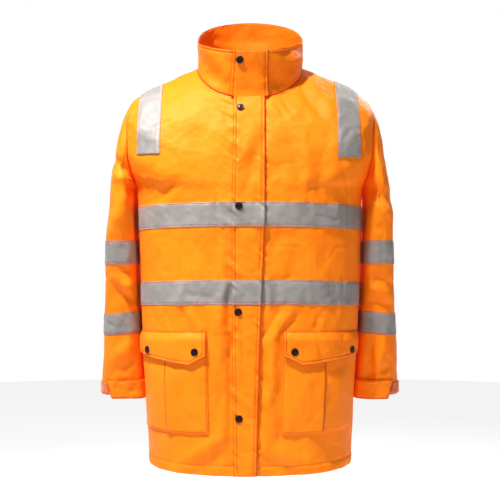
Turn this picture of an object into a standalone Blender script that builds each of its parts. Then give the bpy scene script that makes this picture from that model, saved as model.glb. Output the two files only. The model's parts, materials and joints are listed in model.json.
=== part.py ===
"""A hi-vis work jacket, filled out by its wearer's shape and open at the neck, cuffs and hem.

Metres, +Z up, the front towards -Y, the wearer's left towards +X. The origin is where the wearer's
shoulders carry it: on the centre line, level with the base of the neck at its sides.
Azimuths run from the centre front (0) over the wearer's left side (90 degrees) to the centre back.
A drop is a depth below the origin, read at the side of the body or at the outside of a sleeve.
"""

import math
from collections import namedtuple

import bmesh
import bpy
import numpy as np
from mathutils import Vector

# Cloth and gaps
WALL = 0.002
PLY = 0.001
TAPE = 0.0008
FLAP_WALL = 0.0024
POCKET_WALL = 0.0022
STRIP_WALL = 0.0024
GAP = 0.0003
SEAM = GAP / 2
FOLD_SEAM = 0.0009

# The body: one row per level section, from the neckline to the hem
Section = namedtuple("Section", "name drop half_width front back front_z back_z squareness ease")
BODY = (
    Section("neckline", 0.000, 0.113, 0.100, 0.088, -0.076, 0.018, 2.4, 1.1),
    Section("mid_shoulder", 0.030, 0.178, 0.118, 0.108, -0.112, -0.018, 2.3, 1.3),
    Section("tape_outside", 0.056, 0.232, 0.133, 0.126, -0.150, -0.056, 2.6, 1.4),
    Section("shoulder_point", 0.078, 0.2565, 0.139, 0.133, -0.174, -0.085, 2.8, 1.4),
    Section("upper_armhole", 0.105, 0.266, 0.144, 0.140, -0.200, -0.118, 3.1, 1.4),
    Section("mid_armhole", 0.170, 0.267, 0.148, 0.146, -0.238, -0.178, 3.2, 1.4),
    Section("lower_armhole", 0.225, 0.256, 0.150, 0.149, -0.258, -0.226, 3.0, 1.4),
    Section("underarm", 0.262, 0.243, 0.150, 0.150, -0.272, -0.262, 2.7, 1.5),
    Section("tape_1_top", 0.303, 0.2408, 0.150, 0.150, -0.296, -0.303, 2.6, 1.5),
    Section("tape_1_bottom", 0.354, 0.2400, 0.150, 0.150, -0.346, -0.354, 2.6, 1.5),
    Section("tape_2_top", 0.463, 0.2350, 0.150, 0.149, -0.455, -0.463, 2.6, 1.5),
    Section("tape_2_bottom", 0.512, 0.2335, 0.150, 0.149, -0.505, -0.512, 2.6, 1.5),
    Section("pocket_top", 0.567, 0.2315, 0.150, 0.149, -0.561, -0.568, 2.6, 1.5),
    Section("pocket_middle", 0.715, 0.2220, 0.152, 0.150, -0.717, -0.718, 2.6, 1.5),
    Section("hem", 0.845, 0.2170, 0.153, 0.152, -0.855, -0.852, 2.5, 1.5),
)
SHOULDER_DROP = 0.078
UNDERARM_DROP = 0.262
ARMHOLE_FRONT = 0.070
ARMHOLE_BACK = 0.064
ARMHOLE_STEPS = 8
YOKE_DROPS = (0.000, 0.030, 0.056)
LOWER_DROPS = (0.303, 0.354, 0.408, 0.463, 0.512, 0.567, 0.628, 0.700, 0.765, 0.845)
BODY_TAPES = ((0.303, 0.354), (0.463, 0.512))
BACK_COLUMNS = 16
# A narrow column lies beside each side and shoulder seam, so that both panels face the same way there
BESIDE_SEAM = 0.9967

# The collar's rim, and its ends at the centre front
RIM = Section("rim", -0.066, 0.113, 0.106, 0.086, 0.018, 0.115, 2.0, 1.0)
COLLAR_COLUMNS = 20
COLLAR_ROWS = 4
RIM_TURN = 0.0015

# Sleeves: out is the outside of the arm and in the inside of it; each row is one ring round the arm
Ring = namedtuple("Ring", "name drop out_x in_x in_drop mid_y half_depth squareness")
SLEEVE = (
    Ring("armhole", 0.078, 0.2565, 0.2430, 0.262, 0.000, 0.068, 2.0),
    Ring("cap", 0.099, 0.2688, 0.2440, 0.268, 0.002, 0.074, 2.0),
    Ring("cap_side", 0.125, 0.2768, 0.2450, 0.274, 0.004, 0.082, 2.0),
    Ring("crown", 0.160, 0.2852, 0.2458, 0.281, 0.008, 0.090, 2.2),
    Ring("upper_arm", 0.252, 0.2990, 0.2465, 0.306, 0.016, 0.103, 2.7),
    Ring("biceps", 0.329, 0.3060, 0.2460, 0.346, 0.022, 0.105, 3.0),
    Ring("tape_top", 0.374, 0.3090, 0.2450, 0.374, 0.026, 0.102, 3.1),
    Ring("tape_bottom", 0.424, 0.3112, 0.2430, 0.424, 0.029, 0.096, 3.1),
    Ring("elbow", 0.530, 0.3158, 0.2380, 0.524, 0.032, 0.080, 2.9),
    Ring("forearm", 0.640, 0.3196, 0.2302, 0.638, 0.029, 0.064, 2.7),
    Ring("cuff", 0.705, 0.3226, 0.2250, 0.705, 0.026, 0.053, 2.5),
    Ring("past_the_cuff", 0.722, 0.3232, 0.2243, 0.722, 0.025, 0.051, 2.5),
)
SLEEVE_DROPS = (0.078, 0.096, 0.125, 0.160, 0.205, 0.252, 0.292, 0.330, 0.374, 0.424, 0.477)
FOREARM_DROPS = (0.530, 0.576, 0.640, 0.674, 0.705)
SLEEVE_TAPES = ((0.374, 0.424), (0.530, 0.576))
ARMHOLE_FADE = 0.252

# The storm flap over the front opening, from the hem to the collar's rim
Edge = namedtuple("Edge", "name drop right_x left_x")
STORM_FLAP = (
    Edge("rim", -0.094, -0.0310, 0.0340),
    Edge("neck", 0.000, -0.0340, 0.0320),
    Edge("chest", 0.300, -0.0365, 0.0315),
    Edge("waist", 0.520, -0.0365, 0.0235),
    Edge("hem", 0.845, -0.0325, 0.0140),
)
FLAP_COLLAR_DROPS = (-0.094, -0.066, -0.038, -0.010)
FLAP_BODY_DROPS = (0.018, 0.058, 0.105, 0.190, 0.262, 0.303, 0.354, 0.408, 0.463, 0.512)
FLAP_LOWER_DROPS = (0.580, 0.650, 0.720, 0.790, 0.845)
FLAP_COLUMNS = 3
FLAP_LIFT = GAP + TAPE + GAP
STUD_RADIUS = 0.0078
STUD_TOP = 0.0062
STUD_HEIGHT = 0.0022
STUD_SIDES = 12
STUD_LIFT = 0.0005
Stud = namedtuple("Stud", "name drop x")
FLAP_STUDS = (
    Stud("collar", -0.075, -0.0173),
    Stud("chest", 0.022, -0.0195),
    Stud("tape", 0.313, -0.0224),
    Stud("waist", 0.527, -0.0239),
    Stud("hem", 0.734, -0.0222),
)

# Pockets: azimuths of the inner edge, the pleat and the outer edge, in degrees
Pocket = namedtuple("Pocket", "side inner pleat outer inner_stud outer_stud")
POCKETS = {
    -1: Pocket("right", 16.7, 44.0, 80.0, 22.8, 61.4),
    1: Pocket("left", 11.7, 36.5, 74.5, 17.2, 60.8),
}
POCKET_DROPS = (0.574, 0.628, 0.700, 0.765)
INNER_SPANS = 3
OUTER_SPANS = 4
PLEAT_RISE = 0.0012
FLAP_TOP = 0.565
FLAP_FOLD = 0.571
INNER_STUD_DROP = 0.606
OUTER_STUD_DROP = 0.603
FLAP_ROWS = 2
# The flap's lower edge: how far it hangs, against the share of its width from the inner edge
FLAP_SHARES = (0.0, 0.155, 1.0)
FLAP_HANGS = (0.050, 0.068, 0.046)

# Shoulder tapes, over the shoulder from front to back: their two sides, and how low their ends reach
ShoulderTape = namedtuple("ShoulderTape", "inner outer end")
SHOULDER_TAPES = {
    -1: ShoulderTape(0.186, 0.2355, -0.196),
    1: ShoulderTape(0.181, 0.2300, -0.203),
}
SHOULDER_COLUMNS = 3
SHOULDER_ROWS = 10
SHOULDER_LIFT = 0.0014

# Cuff tabs and their hook-and-loop strips: angles round the cuff from its outside, in degrees
TAB_DROPS = (0.671, 0.690, 0.713)
TAB_END_TOP = 52.0
TAB_END_BOTTOM = 70.0
TAB_INNER_END = 176.0
TAB_COLUMNS = 9
STRIP_DROPS = (0.679, 0.691, 0.702)
STRIP_BACK_END = -48.0
STRIP_COLUMNS = 7
STRIP_CLEARANCE = 3.0
CUFF_LIFT = 2 * GAP

ORANGE = (0.97, 0.30, 0.015)
SILVER = (0.52, 0.50, 0.48)
BLACK = (0.010, 0.006, 0.006)
CORAL = (0.72, 0.16, 0.06)


def sample(table, drop):
    """The table's row at this drop, on smooth curves that never overshoot its rows."""
    rows = np.array([row[1:] for row in table])
    steps = np.diff(rows, axis=0)
    slopes = steps / steps[:, :1]
    before, after = slopes[:-1], slopes[1:]
    total = np.where(before * after > 0, before + after, 1.0)
    turns = np.where(before * after > 0, 2 * before * after / total, 0.0)
    slopes = np.vstack([slopes[:1], turns, slopes[-1:]])
    i = int(np.clip(np.searchsorted(rows[:, 0], drop) - 1, 0, len(rows) - 2))
    span = rows[i + 1, 0] - rows[i, 0]
    t = (drop - rows[i, 0]) / span
    value = (2 * t**3 - 3 * t**2 + 1) * rows[i] + (3 * t**2 - 2 * t**3) * rows[i + 1]
    value += span * ((t**3 - 2 * t**2 + t) * slopes[i] + (t**3 - t**2) * slopes[i + 1])
    return table[0]._make(["", *value])


def power(value, squareness):
    """A superellipse's coordinate from a sine or cosine."""
    return math.copysign(abs(value) ** (2 / squareness), value)


def section_point(section, azimuth):
    """A point of a ring round the body or the collar."""
    ahead, aside = math.cos(azimuth), math.sin(azimuth)
    depth, level = (section.front, section.front_z) if ahead > 0 else (section.back, section.back_z)
    return np.array(
        [
            section.half_width * power(aside, section.squareness),
            -depth * power(ahead, section.squareness),
            -section.drop + (level + section.drop) * abs(ahead) ** section.ease,
        ]
    )


def azimuth_at(section, x):
    """The azimuth on a ring's front where it reaches this x."""
    share = min(1.0, abs(x) / section.half_width)
    return math.copysign(math.asin(share ** (section.squareness / 2)), x)


def body_point(azimuth, drop):
    return section_point(sample(BODY, drop), azimuth)


def collar_point(azimuth, share):
    """A point of the collar's outer face; share is 0 at the neckline and 1 at the rim."""
    return (1 - share) * section_point(BODY[0], azimuth) + share * section_point(RIM, azimuth)


def armhole_azimuth(drop, half_depth):
    """How far round a panel reaches before the armhole; a quarter turn above and below it."""
    share = (drop - SHOULDER_DROP) / (UNDERARM_DROP - SHOULDER_DROP)
    section = sample(BODY, drop)
    reach = 2 * half_depth * math.sqrt(max(0.0, share * (1 - share)))
    depth = section.front if half_depth == ARMHOLE_FRONT else section.back
    return math.acos((reach / depth) ** (section.squareness / 2))


def armhole_drop(angle):
    """The drop at this angle round the armhole; 0 is the shoulder point and pi the underarm."""
    return SHOULDER_DROP + (UNDERARM_DROP - SHOULDER_DROP) * (1 - math.cos(angle)) / 2


def armhole_point(angle):
    """A point of the armhole seam; the front half comes first, then the back half."""
    drop = armhole_drop(angle)
    if angle <= math.pi:
        return body_point(armhole_azimuth(drop, ARMHOLE_FRONT), drop)
    return body_point(math.pi - armhole_azimuth(drop, ARMHOLE_BACK), drop)


def ring_point(ring, angle):
    """A point of an oval ring; angle 0 is the outside of the arm and a quarter turn its front."""
    outer = np.array([ring.out_x, ring.mid_y, -ring.drop])
    inner = np.array([ring.in_x, ring.mid_y, -ring.in_drop])
    across = power(math.cos(angle), ring.squareness) * (outer - inner) / 2
    along = np.array([0, -ring.half_depth * power(math.sin(angle), ring.squareness), 0])
    return (outer + inner) / 2 + across + along


def sleeve_point(angle, drop):
    """A point of the left sleeve's outer face. Its top follows the armhole, and its ovals take over."""
    place = ring_point(sample(SLEEVE, drop), angle)
    if drop < ARMHOLE_FADE:
        fade = ((ARMHOLE_FADE - drop) / (ARMHOLE_FADE - SHOULDER_DROP)) ** 2
        place = place + fade * (armhole_point(angle) - ring_point(SLEEVE[0], angle))
    return place


def grid(rows, columns, point):
    return np.array([[point(row, column) for column in columns] for row in rows])


def inset(points, low=0.0, high=0.0, left=0.0, right=0.0):
    """The grid with its edges drawn in along the cloth: low and high are its first and last rows."""
    drawn = points.copy()
    edges = (
        (low, np.s_[0], np.s_[1]),
        (high, np.s_[-1], np.s_[-2]),
        (left, np.s_[:, 0], np.s_[:, 1]),
        (right, np.s_[:, -1], np.s_[:, -2]),
    )
    for distance, edge, neighbour in edges:
        away = points[neighbour] - points[edge]
        drawn[edge] += distance * away / np.linalg.norm(away, axis=-1, keepdims=True)
    return drawn


def normals(points, closed=False):
    """Outward directions at a grid's points; a closed grid's last column repeats its first."""
    if closed:
        wrapped = np.concatenate([points[:, -2:-1], points, points[:, 1:2]], axis=1)
        across = np.gradient(wrapped, axis=1)[:, 1:-1]
    else:
        across = np.gradient(points, axis=1)
    outward = np.cross(across, np.gradient(points, axis=0))
    return outward / np.linalg.norm(outward, axis=-1, keepdims=True)


def lift(points, distance, closed=False):
    """The grid moved out by a distance, one for all or one per point."""
    return points + np.reshape(distance, np.shape(distance) + (1,)) * normals(points, closed)


def on_side(side, points):
    """A grid made for the wearer's left, or mirrored to the right with its faces still pointing out."""
    return points if side > 0 else points[:, ::-1] * (-1, 1, 1)


def material(name, colour, roughness, metallic=0.0):
    made = bpy.data.materials.new(name)
    made.use_nodes = True
    shader = made.node_tree.nodes["Principled BSDF"]
    shader.inputs["Base Color"].default_value = (*colour, 1)
    shader.inputs["Roughness"].default_value = roughness
    shader.inputs["Metallic"].default_value = metallic
    return made


class Jacket:
    """The collection that holds the pieces, and what they are made of."""

    def __init__(self):
        self.collection = bpy.data.collections.new("hi_vis_work_jacket")
        bpy.context.scene.collection.children.link(self.collection)

    def shell(self, name, points, wall, colour, roughness, closed=False):
        """A piece of cloth: a sheet whose points are placed, thickened inwards.

        The quads of a piece for the wearer's right are split the mirrored way.
        """
        rows, columns = points.shape[:2]
        sheet = bmesh.new()
        bmesh.ops.create_grid(sheet, x_segments=columns - 1, y_segments=rows - 1, size=1)
        for vert, place in zip(sheet.verts, points.reshape(-1, 3), strict=True):
            vert.co = place
        if closed:
            bmesh.ops.remove_doubles(sheet, verts=sheet.verts, dist=1e-6)
        split = "FIXED" if points[..., 0].mean() < 0 else "ALTERNATE"
        bmesh.ops.triangulate(sheet, faces=sheet.faces, quad_method=split)
        mesh = bpy.data.meshes.new(name)
        sheet.to_mesh(mesh)
        sheet.free()
        mesh.shade_smooth()
        mesh.materials.append(material(name, colour, roughness))
        piece = bpy.data.objects.new(name, mesh)
        self.collection.objects.link(piece)
        thickness = piece.modifiers.new("wall", "SOLIDIFY")
        thickness.thickness = wall
        thickness.offset = -1
        thickness.use_even_offset = True
        return piece

    def stud(self, name, seat, outward):
        """A press stud's cap, standing on its seat."""
        middle = Vector(seat + outward * (STUD_LIFT + STUD_HEIGHT / 2))
        bpy.ops.mesh.primitive_cone_add(
            vertices=STUD_SIDES,
            radius1=STUD_RADIUS,
            radius2=STUD_TOP,
            depth=STUD_HEIGHT,
            location=middle,
            rotation=Vector(outward).to_track_quat("Z", "Y").to_euler(),
        )
        piece = bpy.context.object
        piece.name = name
        piece.data.name = name
        piece.data.materials.append(material(name, BLACK, 0.35))
        for owner in piece.users_collection:
            owner.objects.unlink(piece)
        self.collection.objects.link(piece)


def seat_on(points, row, column):
    """A point between a grid's points, and the way out from it."""
    i, j = int(row), int(column)
    a, b = row - i, column - j
    weights = np.array([[(1 - a) * (1 - b), (1 - a) * b], [a * (1 - b), a * b]])[..., None]
    outward = (weights * normals(points)[i : i + 2, j : j + 2]).sum(axis=(0, 1))
    place = (weights * points[i : i + 2, j : j + 2]).sum(axis=(0, 1))
    return place, outward / np.linalg.norm(outward)


def body_drops():
    """The body's rows: yoke, armhole and below, from the neckline down."""
    armhole = [armhole_drop(math.pi * step / ARMHOLE_STEPS) for step in range(ARMHOLE_STEPS + 1)]
    return [*YOKE_DROPS, *armhole, *LOWER_DROPS]


def front_columns(pocket):
    """The front panel's column azimuths in degrees, with the pocket's edges and pleat among them."""
    inner = np.linspace(pocket.inner, pocket.pleat, INNER_SPANS + 1)
    outer = np.linspace(pocket.pleat, pocket.outer, OUTER_SPANS + 1)[1:]
    return [0.0, *inner, *outer, 90.0 * BESIDE_SEAM, 90.0]


def front_grid(side, drops, degrees):
    """Points of the front panel, its lowest row first."""

    def point(drop, azimuth):
        reach = armhole_azimuth(drop, ARMHOLE_FRONT)
        return body_point(reach * azimuth / 90, drop)

    return on_side(side, grid(drops[::-1], degrees, point))


def back_grid(drops):
    """Points of the back panel, its lowest row first, from the wearer's left to the right."""

    def point(drop, share):
        reach = armhole_azimuth(drop, ARMHOLE_BACK)
        return body_point(math.pi + reach * share, drop)

    shares = np.linspace(-1, 1, BACK_COLUMNS + 1)[1:-1]
    return grid(drops[::-1], [-1.0, -BESIDE_SEAM, *shares, BESIDE_SEAM, 1.0], point)


def tape_rows(drops, tape):
    """The rows of an upside-down grid that a tape covers."""
    upward = list(drops)[::-1]
    return slice(upward.index(tape[1]), upward.index(tape[0]) + 1)


def add_body(jacket):
    drops = body_drops()
    back = back_grid(drops)
    panels = {"back": back}
    for side, pocket in POCKETS.items():
        panels[f"front_{pocket.side}"] = front_grid(side, drops, front_columns(pocket))
    for name, points in panels.items():
        cut = inset(points, high=SEAM, left=SEAM, right=SEAM)
        jacket.shell(name, cut, WALL, ORANGE, 0.62)
        for number, tape in enumerate(BODY_TAPES, start=1):
            outer = lift(points, GAP + TAPE)[tape_rows(drops, tape)]
            outer = inset(outer, left=SEAM, right=SEAM)
            jacket.shell(f"body_tape_{number}_{name}", outer, TAPE, SILVER, 0.45)


def add_collar(jacket):
    azimuths = np.linspace(0, 2 * math.pi, COLLAR_COLUMNS + 1)
    shares = np.linspace(0, 1, COLLAR_ROWS + 1)
    points = grid(shares, azimuths, lambda share, azimuth: collar_point(azimuth, share))
    jacket.shell("collar", inset(points, low=SEAM, left=SEAM, right=SEAM), WALL, ORANGE, 0.62)
    lining = inset(lift(points, -WALL - GAP), low=RIM_TURN, high=RIM_TURN, left=PLY, right=PLY)
    jacket.shell("collar_inner", lining, PLY, ORANGE, 0.62)


def sleeve_grid(drops):
    angles = np.linspace(0, 2 * math.pi, 2 * ARMHOLE_STEPS + 1)
    return grid(drops, angles, lambda drop, angle: sleeve_point(angle, drop))


def add_sleeve(jacket, side, name):
    drops = [*SLEEVE_DROPS, *FOREARM_DROPS]
    points = sleeve_grid(drops)
    fold = ((1 + np.cos(np.linspace(0, 2 * math.pi, points.shape[1]))) / 2) ** 2
    cut = inset(points, low=SEAM + FOLD_SEAM * fold[:, None])
    jacket.shell(f"sleeve_{name}", on_side(side, cut), WALL, ORANGE, 0.62, closed=True)
    for number, tape in enumerate(SLEEVE_TAPES, start=1):
        rows = slice(drops.index(tape[0]), drops.index(tape[1]) + 1)
        outer = lift(points, GAP + TAPE, closed=True)[rows]
        jacket.shell(f"sleeve_tape_{number}_{name}", on_side(side, outer), TAPE, SILVER, 0.45, True)


def cuff_patch(drops, starts, ends, columns):
    """Points over the cuff, each row from its own start angle to its own end angle, in degrees."""
    rows = []
    for drop, start, end in zip(drops, starts, ends, strict=True):
        angles = np.radians(np.linspace(start, end, columns + 1))
        rows.append([sleeve_point(angle, drop) for angle in angles])
    return np.array(rows)


def add_cuff_trim(jacket, side, name):
    tab_ends = np.interp(TAB_DROPS, (TAB_DROPS[0], TAB_DROPS[-1]), (TAB_END_TOP, TAB_END_BOTTOM))
    inner_ends = [TAB_INNER_END] * len(TAB_DROPS)
    tab = lift(cuff_patch(TAB_DROPS, tab_ends, inner_ends, TAB_COLUMNS), CUFF_LIFT + FLAP_WALL)
    jacket.shell(f"cuff_tab_{name}", on_side(side, tab), FLAP_WALL, ORANGE, 0.62)
    strip_ends = np.interp(STRIP_DROPS, TAB_DROPS, tab_ends) - STRIP_CLEARANCE
    back_ends = [STRIP_BACK_END] * len(STRIP_DROPS)
    strip = cuff_patch(STRIP_DROPS, back_ends, strip_ends, STRIP_COLUMNS)
    strip = lift(strip, CUFF_LIFT + STRIP_WALL)
    jacket.shell(f"cuff_strip_{name}", on_side(side, strip), STRIP_WALL, CORAL, 0.9)


def front_point(drop, x):
    """The point of the body's or the collar's front at this drop and x; the collar's are negative."""
    if drop >= 0:
        section = sample(BODY, drop)
        return section_point(section, azimuth_at(section, x))
    return collar_point(azimuth_at(RIM, x), drop / STORM_FLAP[0].drop)


def storm_flap_drops():
    return [*FLAP_COLLAR_DROPS, *FLAP_BODY_DROPS, *FLAP_LOWER_DROPS]


def storm_flap_grid():
    def point(drop, share):
        edge = sample(STORM_FLAP, drop)
        return front_point(drop, edge.right_x + (edge.left_x - edge.right_x) * share)

    shares = np.linspace(0, 1, FLAP_COLUMNS + 1)
    return lift(grid(storm_flap_drops()[::-1], shares, point), FLAP_LIFT + FLAP_WALL)


def add_storm_flap(jacket):
    points = storm_flap_grid()
    drops = storm_flap_drops()
    jacket.shell("storm_flap", points, FLAP_WALL, ORANGE, 0.62)
    for number, tape in enumerate(BODY_TAPES, start=1):
        outer = lift(points, GAP + TAPE)[tape_rows(drops, tape)]
        jacket.shell(f"body_tape_{number}_storm_flap", outer, TAPE, SILVER, 0.45)
    for stud in FLAP_STUDS:
        edge = sample(STORM_FLAP, stud.drop)
        column = (stud.x - edge.right_x) / (edge.left_x - edge.right_x) * FLAP_COLUMNS
        row = len(drops) - 1 - np.interp(stud.drop, drops, range(len(drops)))
        seat, outward = seat_on(points, row, column)
        if any(top < stud.drop < bottom for top, bottom in BODY_TAPES):
            seat = seat + outward * (GAP + TAPE)
        jacket.stud(f"stud_{stud.name}", seat, outward)


def add_pocket(jacket, side, pocket):
    degrees = front_columns(pocket)
    covered = slice(1, len(degrees) - 2)
    columns = degrees[covered]
    base = front_grid(1, list(POCKET_DROPS), degrees)
    rise = np.zeros(base.shape[:2])
    rise[:, 1 + INNER_SPANS] = PLEAT_RISE
    bag = lift(base, GAP + POCKET_WALL + rise)[:, covered]
    jacket.shell(f"pocket_{pocket.side}", on_side(side, bag), POCKET_WALL, ORANGE, 0.62)
    add_pocket_flap(jacket, side, pocket, columns)


def add_pocket_flap(jacket, side, pocket, columns):
    """The flap: sewn down above the pocket, folded over its mouth and hanging to a point."""
    falls = np.interp(np.linspace(0, 1, len(columns)), FLAP_SHARES, FLAP_HANGS) - (FLAP_FOLD - FLAP_TOP)
    high = GAP + POCKET_WALL + PLEAT_RISE + GAP + FLAP_WALL
    rows = [(FLAP_TOP, 0.0, GAP + FLAP_WALL)]
    rows += [(FLAP_FOLD, row / FLAP_ROWS, high) for row in range(FLAP_ROWS + 1)]
    azimuths = np.radians(columns)
    surface = [list(map(body_point, azimuths, drop + share * falls)) for drop, share, _ in rows[::-1]]
    lifts = np.array([[rise] * len(columns) for _, _, rise in rows[::-1]])
    flap = lift(np.array(surface), lifts)
    jacket.shell(f"pocket_flap_{pocket.side}", on_side(side, flap), FLAP_WALL, ORANGE, 0.62)

    mirror = np.array([side, 1, 1])
    studs = (("inner", pocket.inner_stud, INNER_STUD_DROP), ("outer", pocket.outer_stud, OUTER_STUD_DROP))
    for place, azimuth, drop in studs:
        column = np.interp(azimuth, columns, range(len(columns)))
        fall = np.interp(azimuth, columns, falls)
        row = FLAP_ROWS * (1 - (drop - FLAP_FOLD) / fall)
        seat, outward = seat_on(flap, row, column)
        jacket.stud(f"stud_pocket_{pocket.side}_{place}", seat * mirror, outward * mirror)


def solve(function, low, high):
    """Where a function that rises or falls steadily passes zero."""
    rising = function(low) < 0
    for _ in range(50):
        middle = (low + high) / 2
        if (function(middle) < 0) == rising:
            low = middle
        else:
            high = middle
    return (low + high) / 2


def shoulder_point(x, share, end_level):
    """A point over the shoulder at this x: share -1 is the tape's front end, 0 the ridge, 1 its back."""

    def place(drop):
        section = sample(BODY, drop)
        ahead = azimuth_at(section, x)
        return section_point(section, ahead if share < 0 else math.pi - ahead)

    ridge = solve(lambda drop: sample(BODY, drop).half_width - x, 0.0, SHOULDER_DROP)
    end = solve(lambda drop: place(drop)[2] - end_level, ridge, UNDERARM_DROP)
    bend = sample(BODY, ridge).squareness
    return place(ridge + (end - ridge) * abs(share) ** bend)


def add_shoulder_tape(jacket, side, name):
    shares = np.linspace(-1, 1, 2 * SHOULDER_ROWS + 1)
    tape = SHOULDER_TAPES[side]
    widths = np.linspace(tape.inner, tape.outer, SHOULDER_COLUMNS + 1)
    points = grid(shares, widths, lambda share, x: shoulder_point(x, share, tape.end))
    outer = lift(points, SHOULDER_LIFT + TAPE)
    jacket.shell(f"shoulder_tape_{name}", on_side(side, outer), TAPE, SILVER, 0.45)


def main():
    for old in list(bpy.data.objects):
        bpy.data.objects.remove(old)
    bpy.context.scene.unit_settings.system = "METRIC"
    jacket = Jacket()
    add_body(jacket)
    add_collar(jacket)
    add_storm_flap(jacket)
    for side, pocket in POCKETS.items():
        add_sleeve(jacket, side, pocket.side)
        add_cuff_trim(jacket, side, pocket.side)
        add_shoulder_tape(jacket, side, pocket.side)
        add_pocket(jacket, side, pocket)


main()
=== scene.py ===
"""The looks of a hi-vis work jacket: its cloth, tapes, stitching and studs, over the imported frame.

Metres, +Z up, the front towards -Y, the wearer's left towards +X. Azimuths run from the centre front
over the wearer's left side to the centre back. A drop is a depth below the base of the neck, read at
the side of the body or at the outside of a sleeve; on the collar it is negative. Every piece is a
grid on the same form as its CAD solid. The folds are one relief that the piece and all that lies on
it follow, so layers stay apart.
"""

import itertools
import json
import math
from collections import namedtuple

import bmesh
import bpy
import numpy as np
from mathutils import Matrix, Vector

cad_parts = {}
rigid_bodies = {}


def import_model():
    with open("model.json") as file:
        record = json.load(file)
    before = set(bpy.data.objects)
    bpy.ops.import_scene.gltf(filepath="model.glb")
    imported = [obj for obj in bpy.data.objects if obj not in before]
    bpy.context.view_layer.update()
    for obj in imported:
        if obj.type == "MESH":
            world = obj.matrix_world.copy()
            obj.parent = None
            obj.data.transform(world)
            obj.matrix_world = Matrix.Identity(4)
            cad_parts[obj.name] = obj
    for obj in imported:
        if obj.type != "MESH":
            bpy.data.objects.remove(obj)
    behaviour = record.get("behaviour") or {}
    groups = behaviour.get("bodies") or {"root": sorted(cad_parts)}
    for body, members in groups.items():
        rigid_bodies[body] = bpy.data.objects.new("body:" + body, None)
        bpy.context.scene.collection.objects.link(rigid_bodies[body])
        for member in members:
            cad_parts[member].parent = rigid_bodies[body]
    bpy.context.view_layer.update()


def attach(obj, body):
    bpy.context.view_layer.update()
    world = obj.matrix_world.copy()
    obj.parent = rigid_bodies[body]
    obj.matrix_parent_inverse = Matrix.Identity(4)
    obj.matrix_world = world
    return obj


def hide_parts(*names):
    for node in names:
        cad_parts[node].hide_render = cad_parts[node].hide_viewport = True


# Cloth thicknesses, and the height of each layer's outer face over the panel's
WALL = 0.002
PLY = 0.001
TAPE = 0.0008
FLAP_WALL = 0.0024
POCKET_WALL = 0.0022
STRIP_WALL = 0.0024
TAPE_HEIGHT = 0.0016
FLAP_HEIGHT = 0.0050
POCKET_HEIGHT = 0.0026
POCKET_FULLNESS = 0.0040
POCKET_FLAP_HEIGHT = 0.0092
CUFF_HEIGHT = 0.0034

# The form of the body, from the neckline to the hem, and of the collar's rim
Section = namedtuple("Section", "name drop half_width front back front_z back_z squareness ease")
BODY = (
    Section("neckline", 0.000, 0.113, 0.100, 0.088, -0.076, 0.018, 2.4, 1.1),
    Section("mid_shoulder", 0.030, 0.178, 0.118, 0.108, -0.112, -0.018, 2.3, 1.3),
    Section("tape_outside", 0.056, 0.232, 0.133, 0.126, -0.150, -0.056, 2.6, 1.4),
    Section("shoulder_point", 0.078, 0.2565, 0.139, 0.133, -0.174, -0.085, 2.8, 1.4),
    Section("upper_armhole", 0.105, 0.266, 0.144, 0.140, -0.200, -0.118, 3.1, 1.4),
    Section("mid_armhole", 0.170, 0.267, 0.148, 0.146, -0.238, -0.178, 3.2, 1.4),
    Section("lower_armhole", 0.225, 0.256, 0.150, 0.149, -0.258, -0.226, 3.0, 1.4),
    Section("underarm", 0.262, 0.243, 0.150, 0.150, -0.272, -0.262, 2.7, 1.5),
    Section("tape_1_top", 0.303, 0.2408, 0.150, 0.150, -0.296, -0.303, 2.6, 1.5),
    Section("tape_1_bottom", 0.354, 0.2400, 0.150, 0.150, -0.346, -0.354, 2.6, 1.5),
    Section("tape_2_top", 0.463, 0.2350, 0.150, 0.149, -0.455, -0.463, 2.6, 1.5),
    Section("tape_2_bottom", 0.512, 0.2335, 0.150, 0.149, -0.505, -0.512, 2.6, 1.5),
    Section("pocket_top", 0.567, 0.2315, 0.150, 0.149, -0.561, -0.568, 2.6, 1.5),
    Section("pocket_middle", 0.715, 0.2220, 0.152, 0.150, -0.717, -0.718, 2.6, 1.5),
    Section("hem", 0.845, 0.2170, 0.153, 0.152, -0.855, -0.852, 2.5, 1.5),
)
RIM = Section("rim", -0.066, 0.113, 0.106, 0.086, 0.018, 0.115, 2.0, 1.0)
COLLAR_HEIGHT = 0.094
COLLAR_LEAN = 0.014
SHOULDER_DROP = 0.078
UNDERARM_DROP = 0.262
HEM_DROP = 0.845
ARMHOLE_FRONT = 0.070
ARMHOLE_BACK = 0.064
BODY_TAPES = ((0.303, 0.354), (0.463, 0.512))

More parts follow.
